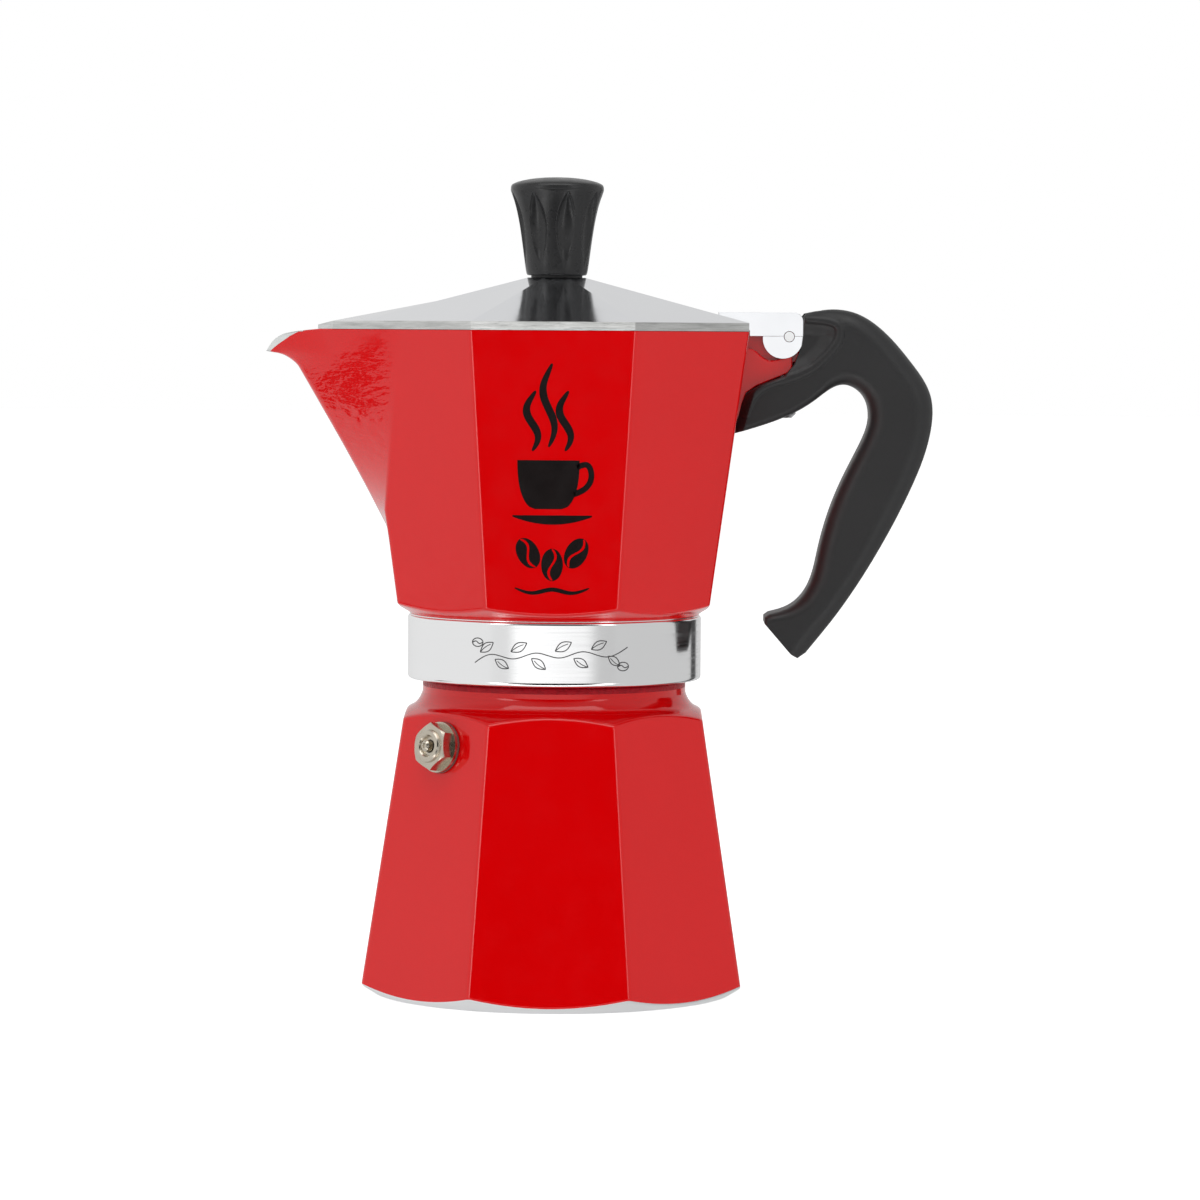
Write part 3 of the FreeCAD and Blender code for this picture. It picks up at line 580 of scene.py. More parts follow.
def make_boiler():
    """The eight-sided boiler: bevelled base, facets, round shoulder, threaded neck and hollow."""
    azimuth = octagon_columns()
    shoulder = smooth(
        [64.5, SHOULDER_Z, 76.2, 77.3, 78.7, 80, 82.6, 83.4, 92.4, NECK_TOP_Z],
        [60.0, SHOULDER_R, 37.2, 36.1, 35.3, 34.9, 34.85, NECK_ROOT_R, NECK_ROOT_R, NECK_ROOT_R - 0.6],
    )

    def cone(z):
        line = SHOULDER_R + (SHOULDER_Z - z) * SHOULDER_SLOPE
        return np.where(z < SHOULDER_Z, line, shoulder(z))

    def facets(z):
        return octagon_radius(azimuth, COS_HALF * (BOILER_BASE_R - BOILER_TAPER * z), EDGE_EASE)

    def base(z):
        return BASE_FACE_R + z / BASE_BEVEL_SLOPE

    zero = np.zeros_like(azimuth)
    low = meeting(zero, zero + 12, lambda z: base(z) - facets(z))
    high = meeting(zero + 66, zero + 80, lambda z: facets(z) - cone(z))

    rows = [ring(BASE_FACE_R - 0.5 + zero, 0.0, azimuth)]
    kinds = [1]

    def outer(z, kind):
        radius = soft_min(soft_min(facets(z), base(z), BASE_EASE), cone(z), SHOULDER_EASE)
        radius = radius + THREAD_DEPTH * ridge(azimuth, z, NECK_THREAD_Z, THREAD_TURNS)
        rows.append(ring(radius, z, azimuth))
        kinds.append(kind)

    outer(zero + 0.12, 1)
    for share in (0.25, 0.6):
        outer(0.12 + (low - 1.07) * share, 1)
    for offset in CREASE:
        outer(low + offset, 1 if offset < 0.1 else 0)
    for share in np.linspace(0, 1, 20)[1:-1]:
        outer(low + 0.95 + (high - low - 1.9) * share, 0)
    for offset in CREASE:
        outer(high + offset, 0)
    for share in np.linspace(0, 1, 20)[1:]:
        outer(high + 0.95 + (80 - high - 0.95) * share, 0)
    # The rows just under the collar take the neck enamel, darkened with painted shade.
    for z in (80.8, 81.2, 81.6, 82.4, 82.8, 83.2):
        outer(zero + z, 0 if z < NECK_PAINTED_SHADE_Z else 3)
    for z in np.arange(83.45, NECK_TOP_Z, 0.16):
        outer(zero + z, 2)
    rows.append(ring(NECK_ROOT_R - 0.7 + zero, NECK_TOP_Z, azimuth))
    kinds.append(2)

    hollow = smooth([3.0, 17.0, 60.9, 72.65, 77.0], [45.5, 60.0, 60.0, 37.1, NECK_BORE_R])
    rows.append(ring(NECK_BORE_R + 0.3 + zero, NECK_TOP_Z, azimuth))
    kinds.append(2)
    for z in (92.7, 88.0, 82.0, 77.0):
        rows.append(ring(NECK_BORE_R + zero, z, azimuth))
        kinds.append(2)
    for z in np.concatenate([np.linspace(76.5, 60, 14), np.linspace(57, 17, 10), np.linspace(15, 3.05, 8)]):
        inside = octagon_radius(azimuth, COS_HALF * (BOILER_BASE_R - BOILER_TAPER * z) - BOILER_WALL, 3.0)
        rows.append(ring(soft_min(inside, hollow(z), 3.0), z, azimuth))
        kinds.append(2)
    made = shell("boiler_shell", rows, [RED, BASE_METAL, CAST, NECK_RED_PAINTED_SHADE], "boiler", kinds)
    sharpen(made.data, 50)
    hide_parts("boiler")
    return made


# ---- collector ----

# The spout's underside near its tip, how far its walls flare there, the rim's height over x,
# and the height where the enamel ends on the lip.
nose_lip = smooth([165.5, 166.3, 167.75, 168.8, 169.2, 169.5], [-70.0, -70.7, -72.6, -74.8, -77.0, -79.4])
nose_flare = smooth([NOSE_Z, 167, 168.5, 170, 172, 176], [0, 0.5, 2.0, 4.2, 5.2, 3.6])
crest_z = smooth(
    [-90, -77.6, -75.9, -74.3, -72.1, -69.3, -66.1, LIP_END_X],
    [156.0, 169.2, 171.4, 172.9, 174.1, 174.7, 175.1, RIM_Z],
)
paint_z = smooth(
    [-90, -76.2, -75.8, -73.9, -71.8, -70.0, -68.5, -67.0, LIP_END_X],
    [154.5, 168.9, 169.5, 171.1, 172.5, 173.7, 174.4, 175.1, RIM_Z + 0.2],
)


def pot_corners(z, inward):
    """The pot's nine corners at the height of each column, moved inwards."""
    radius = POT_BASE_R + POT_FLARE * (z - POT_BASE_Z)
    corners = [
        np.stack([radius * math.cos(STEP * (k + 0.5)), radius * math.sin(STEP * (k + 0.5))], 1)
        for k in range(SIDES)
    ]
    spread = SPOUT_WALL_RATE * np.clip(z - SPOUT_CORNER_Z, 0, None)
    ramp = NOSE_X + NOSE_SLOPE * (NOSE_Z - z)
    nose = soft_min(ramp, -radius * COS_HALF, 0.8)
    corners[3] = corners[3] + np.stack([spread, spread], 1)
    corners[4] = corners[4] + np.stack([spread, -spread], 1)
    corners.insert(4, np.stack([nose, np.zeros_like(nose)], 1))
    corners = np.array(corners)
    before = corners - np.roll(corners, 1, axis=0)
    after = np.roll(corners, -1, axis=0) - corners
    before /= np.linalg.norm(before, axis=2, keepdims=True)
    after /= np.linalg.norm(after, axis=2, keepdims=True)
    normals = np.stack([-before[..., 1] - after[..., 1], before[..., 0] + after[..., 0]], 2)
    scale = inward / (1 + (before * after).sum(2))
    return corners + normals * scale[..., None]


def pot_columns():
    """(corner, kind, share) of every column: kind 0 on the corner's curve, 1 on the edge after it."""
    plain = [0.012, 0.03, 0.07, 0.15, 0.26, 0.38, 0.5, 0.62, 0.74, 0.85, 0.93, 0.97, 0.988]
    spout = [0.012, 0.03, 0.06, 0.11, 0.17, 0.23, 0.29, 0.35, 0.41, 0.46, 0.50, 0.54, 0.57, 0.595, 0.61]
    spout += [0.62, 0.63, 0.64, 0.655, 0.675] + [0.70 + 0.03 * k for k in range(10)] + [0.99]
    columns = []
    for corner in range(SIDES + 1):
        steps = 18 if corner == 4 else 6
        columns += [(corner, 0, t) for t in np.linspace(0, 1, steps + 1)]
        edge = plain
        if corner == 3:
            edge = spout
        if corner == 4:
            edge = [1 - share for share in reversed(spout)]
        columns += [(corner, 1, share) for share in edge]
    return columns


COLUMNS = pot_columns()
CORNER_OF = np.array([c[0] for c in COLUMNS])
ON_EDGE = np.array([c[1] for c in COLUMNS])
SHARE = np.array([c[2] for c in COLUMNS])


def pot_points(z, inward=0.0):
    """(x, y) of every column at its own height, with the spout's lip curled outwards."""
    z = np.broadcast_to(z, CORNER_OF.shape).astype(float)
    corners = pot_corners(z, np.broadcast_to(inward, z.shape))
    column = np.arange(len(z))

    def pick(offset):
        return corners[(CORNER_OF + offset) % (SIDES + 1), column]

    def towards(start, end, distance):
        direction = end - start
        return start + direction / np.linalg.norm(direction, axis=1, keepdims=True) * distance[:, None]

    here, nxt = pick(0), pick(1)
    ease_here = np.where(CORNER_OF == 4, NOSE_EASE, POT_EDGE_EASE)
    ease_next = np.where((CORNER_OF + 1) % (SIDES + 1) == 4, NOSE_EASE, POT_EDGE_EASE)
    start = towards(here, pick(-1), ease_here)
    end = towards(here, nxt, ease_here)
    t = SHARE[:, None]
    curve = (1 - t) ** 2 * start + 2 * t * (1 - t) * here + t * t * end
    straight = end + (towards(nxt, here, ease_next) - end) * t
    spot = np.where(ON_EDGE[:, None] == 1, straight, curve)
    tip = np.where(z > NOSE_Z, NOSE_X + NOSE_SLOPE * (NOSE_Z - z) - nose_lip(z), 0.0)
    middle = 1 - step_between(np.abs(spot[:, 1]), 0.0, LIP_BLEND)
    reach = tip * middle + nose_flare(z) * (1 - middle)
    near = 1 - step_between(np.abs(spot[:, 1]), 0.0, LIP_HALF)
    spot[:, 0] -= np.where(spot[:, 0] < 0, reach * near, 0.0)
    return spot


def make_collector():
    """The upper casting's skin: threaded bore, collar band, flare, facets, spout, rim and inside."""
    flare = smooth([99.0, 100.4, 101.2, 102.1, FLARE_TOP_Z], [38.2, 38.4, 39.4, 41.1, FLARE_TOP_R])

    def cone(z):
        return np.where(z < FLARE_TOP_Z, flare(z), FLARE_TOP_R + (z - FLARE_TOP_Z) * FLARE_SLOPE)

    count = len(COLUMNS)
    zero = np.zeros(count)
    first = pot_points(zero + POT_BASE_Z)
    azimuth = np.arctan2(first[:, 1], first[:, 0])
    rows = []
    kinds = []

    def turned(radius, z, kind):
        rows.append(ring(radius + zero, z, azimuth))
        kinds.append(kind)

    def wall(z, kind, inward=0.0, limit=None, width=1.1):
        spot = pot_points(z, inward)
        reach = np.linalg.norm(spot, axis=1)
        allowed = soft_min(reach, limit(z), width) if limit else reach
        spot = spot * (allowed / reach)[:, None]
        rows.append(np.column_stack([spot, np.broadcast_to(z, zero.shape)]))
        kinds.append(kind)

    turned(35.2, 97.0, 2)
    turned(35.2, 92.8, 2)
    turned(COLLAR_BORE_R, 92.79, 2)
    for z in np.arange(92.6, COLLAR_BOTTOM_Z + 0.8, -0.16):
        depth = THREAD_DEPTH * ridge(azimuth, z, COLLAR_THREAD_Z, THREAD_TURNS)
        turned(COLLAR_BORE_R - depth, z, 2)
    for radius, z in (
        (COLLAR_BORE_R, 84.0), (37.3, COLLAR_BOTTOM_Z), (38.0, COLLAR_BOTTOM_Z), (38.35, 83.27),
        (38.62, 83.45), (38.82, 83.72), (COLLAR_R, 84.1), (COLLAR_R, 84.6),
    ):
        turned(radius, z, 1)
    for z in (87.0, 90.0, 93.0, 96.0, 98.6, 99.2):
        turned(COLLAR_R, z, 1)
    for radius, z in ((38.88, 99.5), (38.8, 99.75), (38.6, 99.95), (38.36, 100.05)):
        turned(radius, z, 1)
    turned(38.33, PAINT_START_Z, 1)
    kinds[-1] = 0

    crease = meeting(zero + 100.6, zero + 126, lambda z: cone(z) - np.linalg.norm(pot_points(z), axis=1))
    start = PAINT_START_Z + 0.1
    for share in np.linspace(0, 1, 9)[:-1]:
        wall(start + (crease - 0.75 - start) * share, 0, limit=cone)
    for offset in CREASE:
        wall(crease + offset * 0.8, 0, limit=cone)
    for share in (0.1, 0.3, 0.5, 0.7, 0.85):
        wall(crease + 0.76 + (SPOUT_ROOT_Z - 1.5 - crease - 0.76) * share, 0, limit=cone)
    root = np.arange(SPOUT_ROOT_Z - 1.5, SPOUT_ROOT_Z + 1.1, 0.5)
    for z in (*root, 122.6, 123.6, 125, 126.5, 127.6, SPOUT_CORNER_Z, 128.8, 130):
        wall(zero + z, 0)
    for z in np.linspace(132, 163.5, 14):
        wall(zero + z, 0)

    def top_of(line, inward):
        return meeting(zero + 160.0, zero + 178.0, lambda z: z - line(pot_points(z, inward)[:, 0]))

    top = top_of(crest_z, 0.0)
    paint = np.minimum(top_of(paint_z, 0.0), top - 0.02)
    bare = top - paint > 0.12
    last = np.where(bare, paint, top - 0.3)
    for share in np.linspace(0, 1, 15):
        wall(164.5 + (last - 164.5) * share, 0)
    lip = np.where(bare, 1.1, 0.0)
    lip_kind = np.where(bare, 3, 0)
    kinds[-1] = lip_kind
    for share in (0.03, 0.35, 0.7, 0.9):
        depth = lip * share
        reach = np.where(bare, last + (top_of(crest_z, depth) - last) * share, last + 0.2 * share)
        wall(reach, lip_kind, depth)
    rim_kind = np.where(bare, 3, 2)
    for inward in (0.12, 0.3):
        depth = lip + inward
        wall(top_of(crest_z, depth) - 0.12 * (0.3 - inward) / 0.18, lip_kind, depth)
    kinds[-1] = rim_kind
    wall(top_of(crest_z, POT_WALL - 0.3 + 0 * lip), 2, POT_WALL - 0.3)
    inner_top = top_of(crest_z, POT_WALL + 0 * lip)
    wall(inner_top - 0.3, 2, POT_WALL)
    floor = smooth([100.0, 102.8, 131.4], [33.0, 37.5, 100.0])
    for share in np.linspace(0, 1, 12)[1:]:
        wall(inner_top - 0.3 + (164.5 - inner_top + 0.3) * share, 2, POT_WALL)
    for z in (158, 150, 142, 135, 128.2, 124, 121, 116, 111):
        wall(zero + z, 2, POT_WALL)
    for z in (108, 106.5, 105.4, 104.5, 103.7, 103, 102.2, 101.3, 100.5, 100.02):
        wall(zero + z, 2, POT_WALL, floor, 3.0)
    made = shell("collector_shell", rows, [RED, TURNED, CAST, GROUND], "pot", kinds)
    sharpen(made.data, 55)
    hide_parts("collector")
    return made


def make_lug():
    """The cast plate between the pot and the handle, and the narrower lug for the hinge pin."""
    wall_x = 44.0
    underside = [(wall_x, 150.0), (48.6, 150.4), (49.2, 156.0), (50.3, 159.3), (53.3, 161.2), (62.5, 165.0)]
    cove = smooth_line(
        [(62.5, 169.4), (58.6, 168.2), (56.2, 168.0), (54.4, 169.0), (52.6, 170.5), (50.4, 171.3)], 2
    )
    above = [(float(x), float(z)) for x, z in cove] + [(wall_x, 171.4)]
    plate = prism("hinge_gusset", underside + above, PLATE_HALF, [RED], "pot")
    sharpen(plate.data, 40)
    soften(plate, 0.5, 4, 40)

    knuckle = 3.1
    top_z = RIM_Z - 0.5
    body = [(wall_x, 160.0), (60.0, 165.5), (64.2, 168.0), (64.4, 170.5)]
    body += arc(HINGE_X, HINGE_Z, knuckle, -14, 160, 26) + [(56.0, top_z), (wall_x, top_z)]
    lug = prism("hinge_lug", body, LUG_HALF - 1.0, [RED], "pot")
    soften(lug, 0.35, 3, 25)


# ---- lid and knob ----


def lid_corners():
    """The lid's outline: five octagon corners, the spout's corners and the beak."""
    corners = [(LID_R * math.cos(turn), LID_R * math.sin(turn)) for turn in STEP * (np.arange(SIDES) + 0.5)]
    spread = SPOUT_WALL_RATE * (RIM_Z - SPOUT_CORNER_Z)
    upper = (corners[3][0] + spread, corners[3][1] + spread)
    lower = (upper[0], -upper[1])
    return corners, [upper, (-58.4, 15.7), (-63.3, 0.0), (-58.4, -15.7), lower]


def stacked(name, levels):
    """A solid through outlines of equal corner counts, each (outline, z)."""
    count = len(levels[0][0])
    points = [(x, y, z) for outline, z in levels for x, y in outline]
    faces = [tuple(range(count))[::-1]]
    for level in range(len(levels) - 1):
        low, high = level * count, (level + 1) * count
        faces += [(low + k, low + (k + 1) % count, high + (k + 1) % count, high + k) for k in range(count)]
    faces.append(tuple((len(levels) - 1) * count + k for k in range(count)))
    return piece(name, points, faces, [], None)


def beak_solid(name, outline, drop, low_z):
    """The folded roof over the spout, as a closed solid."""
    edge_z = RIM_Z + LID_LIP
    heights = [edge_z, edge_z - 0.1, 176.6, edge_z - 0.1, edge_z]
    top = [(x, y, z - drop) for (x, y), z in zip(outline, heights)] + [(-30.0, 0.0, 183.4 - drop)]
    low = [(x, y, low_z) for x, y, _ in top]
    points = top + low + [(-55.0, 0.0, 178.5 - drop)]
    faces = [(k, (k + 1) % 6, 12) for k in range(6)]
    faces += [(6 + k, 6 + (k + 1) % 6, (k + 1) % 6, k) for k in range(6)]
    faces.append(tuple(range(11, 5, -1)))
    return piece(name, points, faces, [], None)


def inset_outline(outline, distance):
    """A closed outline moved inwards."""
    points = np.array(outline, float)
    before = points - np.roll(points, 1, axis=0)
    after = np.roll(points, -1, axis=0) - points
    before /= np.linalg.norm(before, axis=1, keepdims=True)
    after /= np.linalg.norm(after, axis=1, keepdims=True)
    normals = np.stack([-before[:, 1] - after[:, 1], before[:, 0] + after[:, 0]], 1)
    return (points + normals * (distance / (1 + (before * after).sum(1)))[:, None]).tolist()


def make_lid():
    """The lid: a faceted roof with a beak and a pressed edge, hollow beneath, and its hinge channel."""
    corners, beak = lid_corners()
    edge_z = RIM_Z + LID_LIP

    def around(radius):
        return [(x * radius / LID_R, y * radius / LID_R) for x, y in corners]

    shell_made = stacked("lid_roof", [(corners, RIM_Z), (corners, edge_z), (around(LID_HUB_R), LID_HUB_Z)])
    combine(shell_made, beak_solid("beak", beak, 0.0, RIM_Z), "UNION")
    under = LID_R - LID_EDGE_T
    hollow = stacked(
        "hollow",
        [(around(under), RIM_Z - 1), (around(under), edge_z - 1.4), (around(LID_HUB_R), LID_HUB_Z - LID_T)],
    )
    combine(shell_made, hollow, "DIFFERENCE")
    whole = corners[:3] + beak + corners[5:]
    inner = inset_outline(whole, LID_EDGE_T)[3:8]
    combine(shell_made, beak_solid("beak_hollow", inner, LID_T, RIM_Z - 1), "DIFFERENCE")
    bm = bmesh.new()
    bm.from_mesh(shell_made.data)
    bmesh.ops.remove_doubles(bm, verts=bm.verts[:], dist=1e-6)
    bmesh.ops.dissolve_limit(bm, angle_limit=math.radians(0.6), verts=bm.verts[:], edges=bm.edges[:])
    bm.to_mesh(shell_made.data)
    bm.free()
    shell_made.data.materials.clear()
    shell_made.data.materials.append(POLISHED)
    shell_made.data.materials.append(LIP_PAINTED_REFLECTION)
    for face in shell_made.data.polygons:
        face.use_smooth = True
        outward = face.normal.xy.dot(face.center.xy) > 0.0
        # Outward upright faces take the edge metal, whose streaks are painted reflection.
        face.material_index = int(abs(face.normal.z) < 0.2 and outward)
    soften(shell_made, 0.3, 3, 3.5)
    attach(shell_made, "lid")
    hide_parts("lid")

    top = CHANNEL_TOP_Z
    rear = CHANNEL_REAR_X
    over = RIM_Z + 0.3
    upper = [(43.0, 179.2), (49.0, over), (51.1, over), (51.1, EAR_SKIRT_Z), (rear, EAR_SKIRT_Z)]
    upper += arc(rear - 2.4, top - 2.4, 2.4, 0, 90, 10) + [(43.0, top)]
    lobe = arc(*EAR_LOBE, 173.5, 360, 40) + [(rear, EAR_SKIRT_Z - 0.03), (54.7, EAR_SKIRT_Z - 0.03)]
    for name, outline in (("lid_hinge", upper), ("lid_hinge_lobes", lobe)):
        block = prism(name, outline, EAR_OUTER)
        cut_away = [(40.0, 160.0), (90.0, 160.0), (90.0, top - CHANNEL_T), (40.0, top - CHANNEL_T)]
        combine(block, prism("channel", cut_away, EAR_INNER), "DIFFERENCE")
        pin = prism("pin", arc(HINGE_X, HINGE_Z, PIN_R + 0.13, 0, 352, 32), EAR_OUTER + 1)
        combine(block, pin, "DIFFERENCE")
        block.data.materials.clear()
        block.data.materials.append(POLISHED)
        sharpen(block.data, 30)
        soften(block, 0.1, 2, 32)
        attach(block, "lid")


def make_knob():
    profile = smooth(
        [190, 190.4, 193.2, 196.4, 200, 203.8, 207, 209.6, 211.6, 212.7, 213.4],
        [7.6, 7.98, 8.48, 8.9, 9.4, 10.0, 10.65, 11.35, 12.05, 12.35, 12.3],
    )
    flutes = SIDES
    per_flute = 44
    azimuth = np.arange(flutes * per_flute) * math.tau / (flutes * per_flute)
    phase = math.radians(-75.3)
    turn = (azimuth - phase + math.pi / flutes) % (math.tau / flutes) - math.pi / flutes
    wide = smooth([191.5, 193.2, 196, 200, 203.5, 207, 210, 212.2], [0, 0.3, 1.4, 2.3, 2.6, 2.2, 1.2, 0])
    deep = smooth([191.5, 194, 197, 203, 207, 210.6, 212.2], [0, 0.2, 0.8, 1.4, 1.5, 0.9, 0])
    rows = [ring(2.2 + 0 * azimuth, 190.02, azimuth), ring(7.3 + 0 * azimuth, 190.02, azimuth)]
    for z in np.concatenate([[190.12, 190.3], np.arange(190.5, 213.4, 0.24), [213.4]]):
        radius = profile(z)
        across = np.abs(turn) * radius
        share = np.clip(1 - (across / max(float(wide(z)), 0.02)) ** 2, 0, None)
        rows.append(ring(radius - deep(z) * share**0.62, z, azimuth))
    for radius, z in (
        (12.27, 213.55), (12.15, 213.85), (11.9, 214.12), (11.4, 214.4), (10.5, 214.78), (9.1, 215.15),
        (7.5, 215.48), (5.6, 215.74), (3.8, 215.9), (1.9, 215.98), (0.6, 216.0),
    ):
        rows.append(ring(radius + 0 * azimuth, z, azimuth))
    made = shell("knob_body", rows, [KNOB_BLACK], "lid", [0] * len(rows))
    sharpen(made.data, 60)
    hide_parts("lid_knob")


# ---- handle ----

HANDLE_PAIRS = [
    ((47.5, 148.6), (48.3, 156.2)), ((50.6, 149.5), (50.6, 159.2)), ((54.2, 150.7), (54.2, 161.6)),
    ((60.1, 152.8), (60.3, 163.8)), ((64.0, 154.9), (62.9, 166.9)), ((67.0, 156.7), (64.8, 171.3)),
    ((69.5, 158.1), (65.3, 175.4)), ((71.5, 159.2), (65.3, 179.6)), ((72.6, 159.8), (65.9, 180.4)),
    ((74.4, 160.9), (72.9, 181.5)), ((76.5, 161.6), (79.3, 180.5)), ((79.0, 160.9), (86.5, 175.9)),
    ((81.0, 159.2), (94.1, 167.4)), ((82.4, 156.0), (98.4, 160.8)), ((82.9, 152.4), (99.8, 153.4)),
    ((80.6, 145.6), (97.9, 144.3)), ((75.3, 134.8), (92.8, 131.3)), ((69.8, 117.8), (85.4, 117.2)),
    ((66.4, 107.0), (77.5, 104.8)), ((62.2, 102.8), (71.6, 96.6)), ((56.8, 100.9), (66.6, 90.6)),
    ((55.6, 100.0), (64.4, 89.2)), ((55.6, 98.4), (62.7, 90.2)),
]
HANDLE_FRONT = [
    (47.5, 148.6), (60.1, 152.8), (68.6, 157.6), (76.0, 161.6), (81.0, 159.2), (82.9, 152.4), (80.6, 145.6),
    (75.3, 134.8), (69.8, 117.8), (66.4, 107.0), (62.2, 102.8), (56.8, 100.9),
]
HANDLE_BACK = [
    (65.9, 180.4), (72.9, 181.5), (79.3, 180.5), (86.5, 175.9), (94.1, 167.4), (99.1, 159.0), (99.3, 149.7),
    (94.4, 134.8), (85.7, 117.8), (74.7, 100.8), (66.6, 90.6),
]
BEAD = [
    (50.0, 154.0), (52.4, 158.9), (54.6, 160.8), (60.0, 162.8), (64.2, 164.2), (68.2, 166.4), (72.2, 170.2),
    (74.6, 174.2), (74.3, 177.2), (71.0, 178.6), (66.4, 179.0),
]
SCOOP = [
    (58.0, 164.0), (64.0, 164.8), (67.6, 166.6), (71.4, 170.2), (73.7, 174.1), (73.5, 176.7), (70.8, 177.9),
    (66.0, 178.3), (58.0, 178.6),
]


def follow(dense, keys, shares):
    """Points on a dense line at shares of the way between its key points."""
    length = np.concatenate([[0], np.cumsum(np.linalg.norm(np.diff(dense, axis=0), axis=1))])
    marks = [length[np.argmin(np.linalg.norm(dense - np.array(k), axis=1))] for k in keys]
    for k in range(1, len(marks)):
        marks[k] = max(marks[k], marks[k - 1] + 0.02)
    s = smooth(np.arange(len(marks)), marks)(shares)
    return np.stack([np.interp(s, length, dense[:, 0]), np.interp(s, length, dense[:, 1])], 1)


def straight_line(points, per_mm=4.0):
    """Many points on a line with corners."""
    points = np.array(points, float)
    parts = []
    for a, b in zip(points[:-1], points[1:]):
        count = max(2, int(np.linalg.norm(b - a) * per_mm))
        parts.append(a + (b - a) * np.linspace(0, 1, count, endpoint=False)[:, None])
    return np.concatenate(parts + [points[-1:]])


def distance_to(points, line):
    """Distance of each point to a dense line."""
    best = np.full(len(points), 1e9)
    for start in range(0, len(points), 4000):
        part = points[start : start + 4000]
        gap = np.linalg.norm(part[:, None] - line[None], axis=2).min(1)
        best[start : start + 4000] = gap
    return best


def inside(points, outline):
    """True where points are inside a closed outline."""
    found = np.zeros(len(points), bool)
    x, z = points[:, 0], points[:, 1]
    for (x0, z0), (x1, z1) in zip(outline, outline[1:] + outline[:1]):
        if z0 == z1:
            continue
        crosses = (z0 > z) != (z1 > z)
        found ^= crosses & (x < (x1 - x0) * (z - z0) / (z1 - z0) + x0)
    return found


